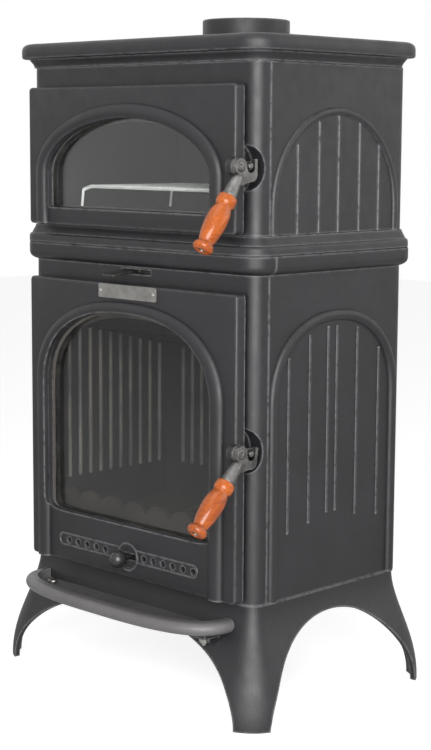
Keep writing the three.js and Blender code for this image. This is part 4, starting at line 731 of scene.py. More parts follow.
# a closed moulding round a slot with half-round ends; radius and reach are the centre line's
def slotBand(middle, height, reach, radius, profile):
    bm = bmesh.new()
    bmesh.ops.create_circle(bm, cap_ends=False, radius=1, segments=64)
    places = bm.verts.layers.float_vector.new("place")
    for vert in bm.verts:
        vert[places] = vert.co
    chain = list(bm.edges)

    def lay(verts, inwards, outwards):
        for vert in verts:
            spot = vert[places]
            side = reach if spot.x > 0 else -reach
            vert.co = (middle + side + (radius - inwards) * spot.x, height + (radius - inwards) * spot.y,
                       outwards)

    last = carryThrough(bm, chain, profile, lay)
    bmesh.ops.bridge_loops(bm, edges=chain + last)
    bmesh.ops.recalc_face_normals(bm, faces=bm.faces)
    return bm


# a turned shape about the local Z, from (radius, height) pairs that start and end on the axis
def turned(outline, segments=40):
    bm = bmesh.new()
    last = None
    for radius, height in outline:
        vert = bm.verts.new((radius, 0, height))
        if last is not None:
            bm.edges.new((last, vert))
        last = vert
    bmesh.ops.spin(bm, geom=list(bm.verts) + list(bm.edges), cent=(0, 0, 0), axis=(0, 0, 1), angle=math.tau,
                   steps=segments, use_merge=True, use_duplicate=False)
    bmesh.ops.remove_doubles(bm, verts=bm.verts, dist=0.0001)
    bmesh.ops.recalc_face_normals(bm, faces=bm.faces)
    return bm


def ontoFront(bm, face):
    return place(bm, Matrix.Translation((0, face, 0)) @ frontTurn)


def ontoSide(bm, face, mirrored=False):
    moved = place(bm, Matrix.Translation((face, 0, 0)) @ sideAxes)
    return place(moved, Matrix.Diagonal((-1, 1, 1, 1))) if mirrored else moved


def nodeCopy(name):
    bm = bmesh.new()
    bm.from_mesh(nodes[name].data)
    bmesh.ops.transform(bm, matrix=toFrame.inverted(), verts=bm.verts)
    bmesh.ops.remove_doubles(bm, verts=bm.verts, dist=0.01)
    bmesh.ops.dissolve_limit(bm, angle_limit=math.radians(1), verts=bm.verts, edges=bm.edges)
    return bm


# the rear reaches further back than the solids: by millimetres, or at the base's top by a share of its depth
rearGrow = dict(crown=4, wall=11, belt=10, base=0.05)
rearStart = 130


def drawBack(bm, by):
    bmesh.ops.translate(bm, verts=[v for v in bm.verts if v.co.y > rearStart], vec=(0, by, 0))
    return bm


# base: a skirt that flares into four curved feet
base = dict(top=168, tuck=0.0032, flare=47, footCorner=46, flarePower=0.9, levels=28, flangeThick=10,
            flangeWide=33, holeBottom=140, holeTall=40, cutUnder=40)
sideArch = dict(halfWide=162, rise=137, along=2, up=1.6)
frontArch = dict(halfWide=240, rise=120, along=2.5, up=2)


def baseLevels(inset, bottom, top):
    levels = []
    for index in range(base["levels"] + 1):
        height = bottom + (top - bottom) * index / base["levels"]
        share = min(max((base["top"] - height) / base["top"], 0), 1)
        flare = base["flare"] * math.sin(math.pi / 2 * share ** base["flarePower"]) ** 2
        corner = body["corner"] + base["footCorner"] * math.sin(math.pi / 2 * share) ** 2
        levels.append(bodyLevel(height, flare - inset, corner - inset))
    return levels


def footArch(arch):
    bm = bmesh.new()
    bmesh.ops.create_circle(bm, cap_ends=True, radius=1, segments=112)
    for vert in bm.verts:
        if vert.co.y >= -1e-6:
            vert.co.x = arch["halfWide"] * power(vert.co.x, arch["along"])
            vert.co.y = arch["rise"] * power(max(vert.co.y, 0), arch["up"])
        else:
            vert.co.x = arch["halfWide"] * power(vert.co.x, squareCurve)
            vert.co.y = base["cutUnder"] * power(vert.co.y, squareCurve)
    bmesh.ops.recalc_face_normals(bm, faces=bm.faces)
    return bm


lip = dict(middle=3, shift=-7, halfWide=210, reach=88, bottom=126, floor=6, rim=20, top=145, power=2.9,
           backEdge=25, hollowBack=40, lug=166, lugHalf=13, lugFront=-195, lugThick=8)


def makeBase():
    flangeWide = body["halfWide"] - base["flangeWide"]
    flangeDeep = body["halfDeep"] - base["flangeWide"]
    bm = loft(baseLevels(0, 0, base["top"]), 12)
    lugTop = lip["bottom"] - gap
    lugs = []
    for side in (-1, 1):
        middle = lip["middle"] + side * lip["lug"]
        lugs.append(boxPiece(middle - lip["lugHalf"], lip["lugFront"], lugTop - lip["lugThick"],
                             middle + lip["lugHalf"], -body["halfDeep"], lugTop))
    bm = carve(bm, lugs, "UNION")
    inner = loft(baseLevels(body["wall"], -1, base["top"] - base["flangeThick"]), 12)
    hole = planwise(roundedRectangle(-flangeWide, -flangeDeep, flangeWide, flangeDeep, body["corner"]),
                    base["holeBottom"], base["holeTall"])
    bm = carve(bm, [inner, hole, sidewise(footArch(sideArch), -farOut, farOut * 2),
                    frontwise(footArch(frontArch), farOut, farOut * 2)])
    for vert in bm.verts:
        share = max(0, vert.co.z) / base["top"]
        fit = 1 - base["tuck"] * (1 - share)
        vert.co.x *= fit
        vert.co.y *= fit + (rearGrow["base"] * share ** 1.5 if vert.co.y > 0 else 0)
    finishPiece("baseSkirt", bm, "iron", "root", ["base_frame"], edge=1.6, edgeSteps=3, angle=38)


makeBase()


# ash lip: a shallow tray with a half-round rim
def lipStack(levels, backEdge):
    bm = bmesh.new()
    bmesh.ops.create_circle(bm, cap_ends=False, radius=1, segments=112)
    places = bm.verts.layers.float_vector.new("place")
    for vert in bm.verts:
        vert[places] = vert.co

    def lay(verts, inset, height):
        for vert in verts:
            spot = vert[places]
            curve = lip["power"] if spot.y <= 1e-6 else squareCurve
            deep = lip["reach"] - inset if spot.y <= 1e-6 else backEdge
            vert.co = (lip["middle"] + lip["shift"] + (lip["halfWide"] - inset) * power(spot.x, curve),
                       -body["halfDeep"] + deep * power(spot.y, curve), height)

    carryThrough(bm, list(bm.edges), levels, lay)
    bmesh.ops.holes_fill(bm, edges=[e for e in bm.edges if len(e.link_faces) < 2])
    bmesh.ops.recalc_face_normals(bm, faces=bm.faces)
    return bm


def makeLip():
    radius = (lip["top"] - lip["bottom"]) / 2
    turns = [math.radians(step * 15 - 90) for step in range(13)]
    rim = [(radius * (1 - math.cos(turn)), lip["bottom"] + radius * (1 + math.sin(turn))) for turn in turns]
    floor = lip["bottom"] + lip["floor"]
    # the tray's wall from its floor up: inset past the rim's inner edge, and height
    tray = [(7, floor), (2, floor + 2), (0, floor + 5), (-1, lip["top"] - 2), (-3, lip["top"] + 0.3),
            (-3, lip["top"] + spare)]
    hollow = lipStack([(lip["rim"] + inset, height) for inset, height in tray], lip["hollowBack"])
    skirt = loft(baseLevels(-gap, 0, base["top"]), 12)
    bm = carve(carve(lipStack(rim, lip["backEdge"]), [hollow]), [skirt])
    # the lip's finish is the lighter paint copy, light from above painted in
    finishPiece("ashLip", bm, "lip", "root", ["ash_lip"], angle=38)


makeLip()
print("base and lip made")


# walls
bandTop = 655.5
band = [(629, 0), (629.8, 2.4), (631, 5.8), (632.8, 8.8), (635, 11), (638, 12.5), (641.5, 13), (654.6, 13),
        (655.5, 12.2)]
beltTop = 682
belt = [(655.8, 11.8), (656.8, 13), (664.4, 13), (667, 12.2), (668.7, 10.6), (669.2, 8.9), (671, 8.3),
        (675, 6.1), (679, 3.9), (682, 3)]
ovenTop = 917
crownTop = 959
crown = [(917.3, 3), (920, 3.6), (923, 5.2), (926, 7.8), (928.4, 10), (930, 10.6), (930.4, 19.2),
         (931.4, 21.2), (933.2, 22), (942, 22), (945.6, 21.4), (948.6, 19.6), (950.8, 16.8), (952.2, 13.2),
         (952.8, 9.4), (953, -22), (953.4, -22.6), (954.2, -23.6), (954.6, -24.8), (954.8, -26.4)]
collarBoss = dict(radius=72, topRadius=69, bottom=950)
flue = dict(y=70, bore=54.9, seat=66.3, seatDeep=1.6)
flueOutline = [(50, 943), (54.6, 943), (54.6, 957.7), (66, 957.7), (66, 987.6), (65.4, 989.2), (64, 990),
               (58.4, 990), (57.4, 989.6), (57, 988.6), (57, 961), (50, 961), (50, 943)]
hollowInset = 15
skinThick = dict(belt=8, crown=16)
smokeHole = dict(inner=198, wide=22, front=-104, back=126)


def ring(levels, bottom, top):
    outer = loft(levels)
    wall = body["wall"]
    inner = planwise(
        roundedRectangle(-body["halfWide"] + wall, -body["halfDeep"] + wall, body["halfWide"] - wall,
                         body["halfDeep"] - wall, body["corner"] - wall),
        bottom - overrun, top - bottom + 2 * overrun)
    return carve(outer, [inner])


cornerStart = body["halfWide"] - body["corner"]
backSplit = body["halfDeep"] - body["wall"] - overrun
lowBottom = base["top"] + gap
highBottom = beltTop + gap
lowLevels = [bodyLevel(lowBottom)] + [bodyLevel(height, out) for height, out in band]
highLevels = [bodyLevel(highBottom), bodyLevel(ovenTop)]

door = dict(left=-215, face=-178.5, back=-161.5, corner=6, seat=11, rounding=3)
ovenDoor = dict(right=218.5, bottom=684.7, top=887.2)
fireDoor = dict(right=223, bottom=172.3, top=604.4)
ovenArch = dict(middle=0.5, halfWide=195.5, spring=760, rise=102.6, bead=24, topShare=23.3 / 24, curve=2,
                sill=710)
fireArch = dict(middle=0.7, halfWide=198.7, spring=445, rise=134, bead=27, topShare=22 / 27, curve=2.3,
                sill=247)
sillRound = dict(oven=(57, 16), firebox=(12.2, 36))
bead = dict(proud=8.5, sunk=3, footUp=1.2)
glass = dict(overlap=8)
windowGrow = dict(oven=2, firebox=6)
windowLift = dict(oven=0, firebox=2)
rope = dict(inset=23.5, wide=8.4, bottomIn=9.8, topIn=10.4, depth=5, corner=10)
opening = dict(halfWide=183, inset=6.2, corner=8)
hinge = dict(x=-207, y=-167.5, radius=5.5, tall=20, stem=8, pin=3, skin=4, free=1.2, boreHalf=15)
hingeHeights = dict(oven=(722, 849), firebox=(232, 548))
# the latch: places across are counted from the right edge of the door
handle = dict(barrel=12, barrelRound=1.2, barrelStart=-2, barrelEnd=10.9, lugStart=-5.5, lugBack=12,
              lugHalf=9, head=11, headStart=11.3, headEnd=17.2, bolt=3.6, boltIn=10, boltHead=7.2,
              boltHeadThick=3, aside=6.3, lean=36, room=15.5)
recess = dict(out=6.5, up=-2.7, radius=38.5, start=213)
pocket = dict(start=204, margin=8, back=-131)
keeper = dict(out=19, up=0.5, radius=4, lug=6, start=0.8, lugEnd=6.5, root=3, back=42)
handleAt = dict(oven=dict(x=218.5, y=-185, z=776.7, turn=0), firebox=dict(x=223, y=-184.3, z=389, turn=8.3))
slotAt = dict(left=-34, right=30, bottom=618, top=624.6, corner=3.2, back=-140)


def doorOpening(panel):
    low = panel["bottom"] + rope["bottomIn"] + opening["inset"]
    high = panel["top"] - rope["topIn"] - opening["inset"]
    outline = roundedRectangle(-opening["halfWide"], low, opening["halfWide"], high, opening["corner"])
    return frontwise(outline, -body["frontSeam"], body["halfDeep"])


def keeperSpot(at):
    tilt = math.radians(at["turn"])
    back = keeper["out"] * math.cos(tilt) + keeper["up"] * math.sin(tilt)
    rise = keeper["up"] * math.cos(tilt) - keeper["out"] * math.sin(tilt)
    return at["y"] + back, at["z"] + rise


# the lug in the recess beside the door, which holds the keeper pin
def keeperLug(at):
    pinY, pinZ = keeperSpot(at)
    start = at["x"] + keeper["start"]
    end = at["x"] + keeper["lugEnd"]
    eye = rod("X", keeper["lug"], start, end, pinY, pinZ, 48)
    arm = boxPiece(start, pinY, pinZ - keeper["lug"], end, at["y"] + keeper["back"], pinZ + keeper["lug"])
    bore = rod("X", keeper["radius"] + gap, start + keeper["root"] - gap, end + overrun, pinY, pinZ, 32)
    return carve(carve(eye, [arm], "UNION"), [bore])


def makeFrontFrame(name, node, prefix, panel, levels, bottom, top, cuts=()):
    front = boxPiece(-farOut, -farOut, bottom - spare, farOut, -body["frontSeam"], top + spare)
    bm = carve(ring(levels, bottom, top), [front], "INTERSECT")
    at = handleAt[prefix]
    height = at["z"] + recess["up"]
    reach = recess["radius"] + pocket["margin"]
    backing = boxPiece(pocket["start"], -body["halfDeep"], height - reach,
                       body["halfWide"], pocket["back"], height + reach)
    within = loft([bodyLevel(height - reach - overrun), bodyLevel(height + reach + overrun)])
    added = [carve(backing, [within], "INTERSECT")]
    for spot in hingeHeights[prefix]:
        low = spot - hinge["tall"] / 2
        high = spot + hinge["tall"] / 2
        added.append(boxPiece(hinge["x"] - hinge["stem"] / 2, hinge["y"], low,
                              hinge["x"] + hinge["stem"] / 2, -body["halfDeep"] + overrun, high))
        added.append(rod("Z", hinge["radius"], low, high, hinge["x"], hinge["y"], 32))
    bm = carve(bm, added, "UNION")
    half = hinge["boreHalf"]
    bores = [rod("Z", hinge["pin"] + gap, spot - half, spot + half, hinge["x"], hinge["y"], 24)
             for spot in hingeHeights[prefix]]
    scoop = rod("X", recess["radius"], recess["start"], farOut, at["y"] + recess["out"], height, 96)
    bm = carve(bm, [doorOpening(panel), scoop, *bores, *cuts])
    bm = carve(bm, [keeperLug(at)], "UNION")
    finishPiece(name, bm, "iron", "root", [node], edge=0.9, angle=38)


slotOutline = roundedRectangle(slotAt["left"], slotAt["bottom"], slotAt["right"], slotAt["top"],
                               slotAt["corner"], 6)
makeFrontFrame("fireboxFrontFrame", "lower_front_frame", "firebox", fireDoor, lowLevels, lowBottom, bandTop,
               [frontwise(slotOutline, slotAt["back"], farOut)])
makeFrontFrame("ovenFrontFrame", "oven_front_frame", "oven", ovenDoor, highLevels, highBottom, ovenTop)
print("front frames made")

# side panels: arch bead, planks on the oven, slim ribs on the firebox
fireSide = dict(middle=10.5, halfWide=138, spring=445, rise=128.6, bead=16, proud=6, sunk=2, topShare=1,
                curve=2.2, foot=lowBottom)
ovenSide = dict(middle=8.3, halfWide=135.5, spring=720, rise=137.5, bead=11, proud=4, sunk=1, topShare=1,
                curve=2, foot=highBottom)
planks = [(-75, 806), (-30.5, 837), (10.8, 846), (56.3, 837), (99.6, 806)]
ribs = [(-88, 262, 512), (-44, 271, 541), (-5, 281, 551), (14, 281, 551), (59, 269, 545), (108, 261, 512)]
plankGroove = dict(wide=3.2, deep=1.7)
ribSize = dict(wide=5.4, proud=1.7)
# the ledge inside each firebox wall that carries the grate plate
ledge = dict(inner=213, outer=229.5, half=118, bottom=209.7, top=217.7)


def slimRod(y, low, high, wide, out):
    bm = rod("Z", 1, low, high, 0, 0, 12)
    return place(bm, Matrix.Translation((body["halfWide"], y, 0)) @ Matrix.Diagonal((out, wide / 2, 1, 1)))


def sideBlank(levels, bottom, top):
    keep = boxPiece(cornerStart, -body["frontSeam"] + gap, bottom - spare, farOut, farOut, top + spare)
    return carve(ring(levels, bottom, top), [keep], "INTERSECT")


def makeSides():
    for mirrored, label, sign in ((False, "right", 1), (True, "left", -1)):
        flip = Matrix.Diagonal((sign, 1, 1, 1))
        low = sideBlank(lowLevels, lowBottom, bandTop)
        shelf = boxPiece(ledge["inner"], -ledge["half"], ledge["bottom"],
                         ledge["outer"], ledge["half"], ledge["top"])
        low = carve(low, [shelf], "UNION")
        finishPiece(f"fireboxSide_{label}", place(drawBack(low, rearGrow["wall"]), flip), "iron", "root",
                    [f"lower_side_panel_{label}"], edge=0.9, angle=38)
        profile = roundProfile(fireSide["bead"], fireSide["proud"], fireSide["sunk"])
        relief = archBand(fireSide, fireSide["foot"], profile)
        finishPiece(f"fireboxSideArch_{label}", ontoSide(relief, body["halfWide"], mirrored), "iron", "root",
                    angle=40)
        lines = gather([slimRod(y, foot, top, ribSize["wide"], ribSize["proud"]) for y, foot, top in ribs])
        finishPiece(f"fireboxSideRibs_{label}", place(lines, flip), "iron", "root", angle=50)
        high = sideBlank(highLevels, highBottom, ovenTop)
        grooves = [slimRod(y, highBottom - spare, top, plankGroove["wide"], plankGroove["deep"])
                   for y, top in planks]
        high = carve(high, grooves)
        finishPiece(f"ovenSide_{label}", place(drawBack(high, rearGrow["wall"]), flip), "iron", "root",
                    [f"oven_side_panel_{label}"], edge=0.7, angle=50)
        profile = roundProfile(ovenSide["bead"], ovenSide["proud"], ovenSide["sunk"], 8)
        relief = archBand(ovenSide, ovenSide["foot"], profile)
        finishPiece(f"ovenSideArch_{label}", ontoSide(relief, body["halfWide"], mirrored), "iron", "root",
                    angle=40)


makeSides()


def makeBacks():
    for name, node, levels, bottom, top in (
        ("fireboxBack", "lower_back_panel", lowLevels, lowBottom, bandTop),
        ("ovenBack", "oven_back_panel", highLevels, highBottom, ovenTop),
    ):
        keep = boxPiece(-cornerStart + gap, backSplit, bottom - spare, cornerStart - gap, farOut, top + spare)
        bm = carve(ring(levels, bottom, top), [keep], "INTERSECT")
        finishPiece(name, drawBack(bm, rearGrow["wall"]), "iron", "root", [node], edge=0.9, angle=38)


makeBacks()


def makeBeltAndCrown():
    wide = body["halfWide"] - hollowInset
    deep = body["halfDeep"] - hollowInset

    def hollowUp(bottom, top):
        return planwise(roundedRectangle(-wide, -deep, wide, deep, body["corner"]), bottom, top - bottom)

    holes = [boxPiece(start, smokeHole["front"], bandTop,
                      start + smokeHole["wide"], smokeHole["back"], beltTop + overrun)
             for start in (-smokeHole["inner"] - smokeHole["wide"], smokeHole["inner"])]
    hollow = hollowUp(bandTop - overrun, beltTop - skinThick["belt"])
    beltShape = drawBack(carve(moulding(belt), [hollow, *holes]), rearGrow["belt"])
    finishPiece("beltPlate", beltShape, "iron", "root", ["oven_floor_plate"], angle=38)
    hollow = hollowUp(ovenTop - overrun, crownTop - skinThick["crown"])
    boss = rod("Z", collarBoss["radius"], collarBoss["bottom"], crownTop, 0, flue["y"], 96,
               collarBoss["topRadius"])
    flueHole = rod("Z", flue["bore"], ovenTop, crownTop + spare, 0, flue["y"], 96)
    seat = rod("Z", flue["seat"], crownTop - flue["seatDeep"], crownTop + spare, 0, flue["y"], 96)
    plateTop = carve(carve(moulding(crown), [boss], "UNION"), [hollow, flueHole, seat])
    finishPiece("crownPlate", drawBack(plateTop, rearGrow["crown"]), "iron", "root", ["top_plate"], angle=38)
    collar = place(turned(flueOutline, 96), Matrix.Translation((0, flue["y"], 0)))
    finishPiece("flueSpigot", collar, "iron", "root", ["flue_collar"], angle=38)


makeBeltAndCrown()
print("panels, belt and crown made")

# doors
vent = dict(left=-150, right=152, bottom=195.4, top=217.2, line=4, proud=2.2, sunk=1.5, holes=4.6, z=205.6)
ventHoles = [-127.5, -107, -86.7, -66, -45.3, 38.4, 58.4, 78.4, 98.6, 119.8, 141]
knob = dict(x=5, z=203, ball=13, reach=20, stem=4, recess=18.4, deep=3.4, travel=12, free=0.6, rim=4.6,
            rimProud=2.4, rimGap=2)
channel = dict(half=178, bottom=191.1, top=220.1, lap=5.3, deep=3.3)
plate = dict(left=-56, right=66, bottom=583, top=603.4, thick=1.6, corner=2, screw=1.9, screwIn=5.5,
             screwDeep=5)
plateScrews = (plate["left"] + plate["screwIn"], plate["right"] - plate["screwIn"])
plateMiddle = (plate["bottom"] + plate["top"]) / 2


def ropeCutter(panel):
    outlines = []
    for half in (rope["wide"] / 2 + gap, -rope["wide"] / 2 - gap):
        aside = door["left"] + rope["inset"] - half
        low = panel["bottom"] + rope["bottomIn"] - half
        high = panel["top"] - rope["topIn"] + half
        outlines.append(roundedRectangle(aside, low, -aside, high, rope["corner"] + half))
    outer = frontwise(outlines[0], door["back"] + overrun, rope["depth"] + overrun)
    inner = frontwise(outlines[1], door["back"] + spare, rope["depth"] + 2 * spare)
    return carve(outer, [inner])


def hingePocket(height):
    wide = hinge["radius"] + hinge["free"]
    half = hinge["tall"] / 2 + hinge["free"]
    return boxPiece(door["left"] - overrun, door["face"] + hinge["skin"], height - half,
                    hinge["x"] + wide, door["back"] + overrun, height + half)


def archInner(arch):
    return dict(arch, halfWide=arch["halfWide"] - arch["bead"],
                rise=arch["rise"] - arch["bead"] * arch["topShare"], foot=arch["sill"])


def makeDoor(prefix, panel, arch, extraCuts=()):
    sheet = roundedRectangle(door["left"], panel["bottom"], panel["right"], panel["top"], door["corner"], 8)
    bm = frontwise(sheet, door["back"], door["back"] - door["face"])
    front = [e for e in bm.edges if max(abs(v.co.y - door["face"]) for v in e.verts) < 0.01]
    bmesh.ops.bevel(bm, geom=front, offset=door["rounding"], affect="EDGES", segments=4, profile=0.5,
                    material=-1)
    at = handleAt[prefix]
    barrelEnd = at["x"] + handle["barrelEnd"]
    barrel = rod("X", handle["barrel"], at["x"] + handle["barrelStart"], barrelEnd, at["y"], at["z"], 64)
    rim = [e for e in barrel.edges if e.calc_face_angle(0) > 1]
    bmesh.ops.bevel(barrel, geom=rim, offset=handle["barrelRound"], affect="EDGES", segments=3, profile=0.5,
                    material=-1)
    lug = boxPiece(at["x"] + handle["lugStart"], at["y"], at["z"] - handle["lugHalf"], barrelEnd,
                   at["y"] + handle["lugBack"], at["z"] + handle["lugHalf"])
    bm = carve(bm, [barrel, lug], "UNION")
    inner = archInner(arch)
    grow = windowGrow[prefix]
    foot = inner["foot"] + windowLift[prefix] + grow
    window = frontwise(archFace(inner, grow, foot, sillRound[prefix]), 0, farOut)
    seat = frontwise(archFace(inner, glass["overlap"], sill=sillRound[prefix]), door["back"] + overrun,
                     door["back"] + overrun - door["face"] - door["seat"])
    boltHole = rod("X", handle["bolt"] + gap, barrelEnd - handle["boltIn"] - gap, farOut, at["y"], at["z"],
                   32)
    pockets = [hingePocket(height) for height in hingeHeights[prefix]]
    bm = carve(bm, [window, seat, ropeCutter(panel), boltHole, *pockets, *extraCuts])
    finishPiece(f"{prefix}DoorPanel", bm, "iron", f"{prefix}_door", [f"{prefix}_door"], edge=0.6, angle=44)
    profile = roundProfile(arch["bead"], bead["proud"], bead["sunk"], 12)
    relief = ontoFront(archBand(arch, panel["bottom"] + bead["footUp"], profile, 72), door["face"])
    relief = carve(relief, [frontwise(archFace(inner, grow, foot, sillRound[prefix]), 0, farOut)])
    finishPiece(f"{prefix}DoorBead", relief, "iron", f"{prefix}_door", angle=50)


makeDoor("oven", ovenDoor, ovenArch)
knobHalf = knob["travel"] + knob["stem"] + knob["free"]
knobTall = knob["stem"] + gap
knobSlot = roundedRectangle(knob["x"] - knobHalf, knob["z"] - knobTall,
                            knob["x"] + knobHalf, knob["z"] + knobTall, knob["stem"])
channelFace = door["face"] + door["seat"] - gap
doorCuts = [
    rod("Y", knob["recess"], -farOut, door["face"] + knob["deep"], knob["x"], knob["z"], 72),
    frontwise(knobSlot, door["back"] + overrun, farOut),
    boxPiece(-channel["half"], channelFace, channel["bottom"],
             channel["half"], channelFace + gap + channel["deep"], channel["top"]),
    boxPiece(-channel["half"], channelFace, channel["bottom"] + channel["lap"],
             channel["half"], door["back"] + overrun, channel["top"] - channel["lap"]),
    *[rod("Y", vent["holes"], -farOut, door["back"] + overrun, x, vent["z"], 32) for x in ventHoles],
    *[rod("Y", plate["screw"], -farOut, door["face"] + plate["screwDeep"], x, plateMiddle, 16)
      for x in plateScrews],
]
makeDoor("firebox", fireDoor, fireArch, doorCuts)


def makeVentTrim():
    radius = (vent["top"] - vent["bottom"]) / 2
    middle = (vent["left"] + vent["right"]) / 2
    height = (vent["top"] + vent["bottom"]) / 2
    reach = (vent["right"] - vent["left"]) / 2 - radius
    profile = roundProfile(vent["line"], vent["proud"], vent["sunk"], 8)
    frameLine = slotBand(middle, height, reach, radius, profile)
    keepOut = rod("Z", knob["recess"] + knob["rimGap"], -farOut, farOut, knob["x"], knob["z"], 72)
    frameLine = carve(frameLine, [keepOut])
    finishPiece("airStripRim", ontoFront(frameLine, door["face"]), "iron", "firebox_door", angle=50)
    profile = roundProfile(knob["rim"], knob["rimProud"], vent["sunk"], 8)
    knobLine = slotBand(knob["x"], knob["z"], 0, knob["recess"] + vent["line"], profile)
    finishPiece("knobRim", ontoFront(knobLine, door["face"]), "iron", "firebox_door", angle=50)


makeVentTrim()


def makeNameplate():
    sheet = roundedRectangle(plate["left"], plate["bottom"], plate["right"], plate["top"], plate["corner"], 6)
    blank = frontwise(sheet, door["face"] - gap, plate["thick"])
    holes = [rod("Y", plate["screw"], -farOut, farOut, x, plateMiddle, 20) for x in plateScrews]
    finishPiece("namePlate", carve(blank, holes), "plate", "firebox_door", ["nameplate"], edge=0.4, angle=40)


makeNameplate()
print("doors made")

# lever handles: flat head with the hook, tapered shaft, turned grip
gripProfile = [(0, 45), (12.2, 45), (12.8, 45.3), (13.3, 46.2), (13.6, 47.6), (13.8, 50), (13.9, 52),
               (13.8, 54), (13.5, 56), (13, 57.4), (12.4, 58.5), (11.5, 59.3), (11.1, 60), (11.4, 61.2),
               (12.2, 63.2), (13.1, 66), (14, 69.8), (14.8, 74), (15.1, 79), (15.2, 84), (15, 91), (14.3, 98),
               (13.3, 105), (12, 111), (11, 115), (10.6, 117), (10.8, 118.2), (11.8, 119), (13, 120.4),
               (14.1, 122.2), (14.3, 124.2), (14.2, 126), (13.3, 127.7), (11.8, 129.1), (9.9, 129.8),
               (6, 129.8), (5.5, 129.7), (5.3, 129.4), (5.3, 125.7), (0, 125.7)]
shaftProfile = [(0, 11), (5.4, 11), (6.6, 13), (7.4, 16), (8, 20), (8.4, 24), (8.9, 30), (9.5, 36), (10, 42),
                (10.2, 44), (9.9, 44.7), (0, 44.7)]
hook = dict(front=11.6, slotBack=26.6, bottom=-8.8, back=31.5, top=9.8, footOut=18.5, footDown=-20.8,
            rootOut=2.6, rootDown=-25, corner=10)


def hookPiece():
    radius = (hook["slotBack"] - hook["front"]) / 2
    middle = (hook["slotBack"] + hook["front"]) / 2
    bm = bmesh.new()
    corners = [(0, 0), (-handle["head"], hook["rootDown"]), (hook["rootOut"], hook["rootDown"]),
               (hook["footOut"], hook["footDown"]), (hook["back"], hook["footDown"]),
               (hook["back"], hook["top"]), (hook["front"], hook["top"]), (hook["front"], 0)]
    verts = [bm.verts.new((y, z, 0)) for y, z in corners]
    bm.faces.new(verts)
    bmesh.ops.bevel(bm, geom=[verts[4]], offset=hook["corner"], affect="VERTICES", segments=8, profile=0.5,
                    material=-1)
    blank = sidewise(bm, handle["headStart"], handle["headEnd"] - handle["headStart"])
    slotEnd = rod("X", radius, -farOut, farOut, middle, hook["bottom"] + radius, 48)
    mouth = boxPiece(-farOut, hook["front"] - spare, hook["bottom"] + radius,
                     farOut, hook["slotBack"], farOut)
    return carve(blank, [slotEnd, mouth])


def leverMatrix(prefix):
    at = handleAt[prefix]
    turn = Matrix.Rotation(-math.radians(at["turn"]), 4, "X")
    return Matrix.Translation((at["x"], at["y"], at["z"])) @ turn


lean = math.radians(handle["lean"])
headMiddle = (handle["headStart"] + handle["headEnd"]) / 2
leverFoot = (headMiddle, handle["aside"] * math.cos(lean), -handle["aside"] * math.sin(lean))
alongLever = Matrix.Translation(leverFoot) @ Matrix.Rotation(math.pi - lean, 4, "X")


def makeHandles():
    for prefix in ("oven", "firebox"):
        head = rod("X", handle["head"], handle["headStart"], handle["headEnd"], 0, 0, 72)
        shaft = place(turned(shaftProfile, 56), alongLever)
        bore = rod("X", handle["bolt"] + gap, -farOut, farOut, 0, 0, 32)
        sink = rod("X", handle["boltHead"] + gap, handle["headEnd"] - handle["boltHeadThick"] - gap, farOut,
                   0, 0, 56)
        room = rod("X", handle["room"], -farOut, handle["headStart"], 0, 0, 64)
        lever = carve(carve(hookPiece(), [head, shaft], "UNION"), [bore, sink, room])
        finishPiece(f"{prefix}Lever", place(lever, leverMatrix(prefix)), "lever", f"{prefix}_handle",
                    [f"{prefix}_lever"], edge=0.8, edgeSteps=3, angle=40)
        grip = place(place(turned(gripProfile, 64), alongLever), leverMatrix(prefix))
        finishPiece(f"{prefix}Grip", grip, f"{prefix}Grip", f"{prefix}_handle", [f"{prefix}_grip"], angle=60)


makeHandles()


def makeKnobBall():
    bm = bmesh.new()
    bmesh.ops.create_uvsphere(bm, u_segments=48, v_segments=28, radius=knob["ball"])
    place(bm, Matrix.Translation((knob["x"], door["face"] - knob["reach"], knob["z"])))
    hole = rod("Y", knob["stem"] + gap, door["face"] - knob["reach"], door["face"], knob["x"], knob["z"], 32)
    finishPiece("airKnob", carve(bm, [hole]), "knob", "primary_air_slide", ["air_knob"], angle=50)


makeKnobBall()
print("handles and knob made")


# log guard: a rail with round crests, on a foot
guard = dict(front=-134, thick=8, halfWide=200, low=226.3, top=274, valley=18, pitch=51, shift=-182.5,
             count=8, foot=24, footThick=6)


def makeGuard():
    radius = (guard["pitch"] ** 2 / 4 + guard["valley"] ** 2) / (guard["valley"] * 2)
    middle = guard["top"] - radius
    back = guard["front"] + guard["thick"]
    rail = boxPiece(-guard["halfWide"], guard["front"], guard["low"], guard["halfWide"], back, middle)
    foot = boxPiece(-guard["halfWide"], guard["front"], guard["low"],
                    guard["halfWide"], guard["front"] + guard["foot"], guard["low"] + guard["footThick"])
    crests = [rod("Y", radius, guard["front"], back, guard["shift"] + guard["pitch"] * index, middle, 96)
              for index in range(guard["count"])]
    keep = boxPiece(-guard["halfWide"], -farOut, 0, guard["halfWide"], farOut, farOut)
    bm = carve(carve(rail, [foot, *crests], "UNION"), [keep], "INTERSECT")
    finishPiece("logGuardRail", bm, "sooted", "root", ["log_guard"], edge=1.4, edgeSteps=3, angle=40)


makeGuard()

# ribbed liners: plain boards on pads, with round ribs that stop above the hearth
liner = dict(face=209, back=214, front=-124, rear=106, low=226.3, high=522.7, slopeFrom=-79, highRear=478.1)
rearLiner = dict(face=110.3, back=115.3, high=475.9)
linerPad = dict(radius=9, heights=(290, 440), sideEnd=228.2, sideY=(-90, 72), rearEnd=157, rearX=102.5)
linerRibs = dict(pitch=21.6, first=-105, count=10, rearCount=17, low=283, wide=6, proud=3.9, under=3)


def linerTop(y):
    share = max(y - liner["slopeFrom"], 0) / (liner["rear"] - liner["slopeFrom"])
    return liner["high"] + (liner["highRear"] - liner["high"]) * share


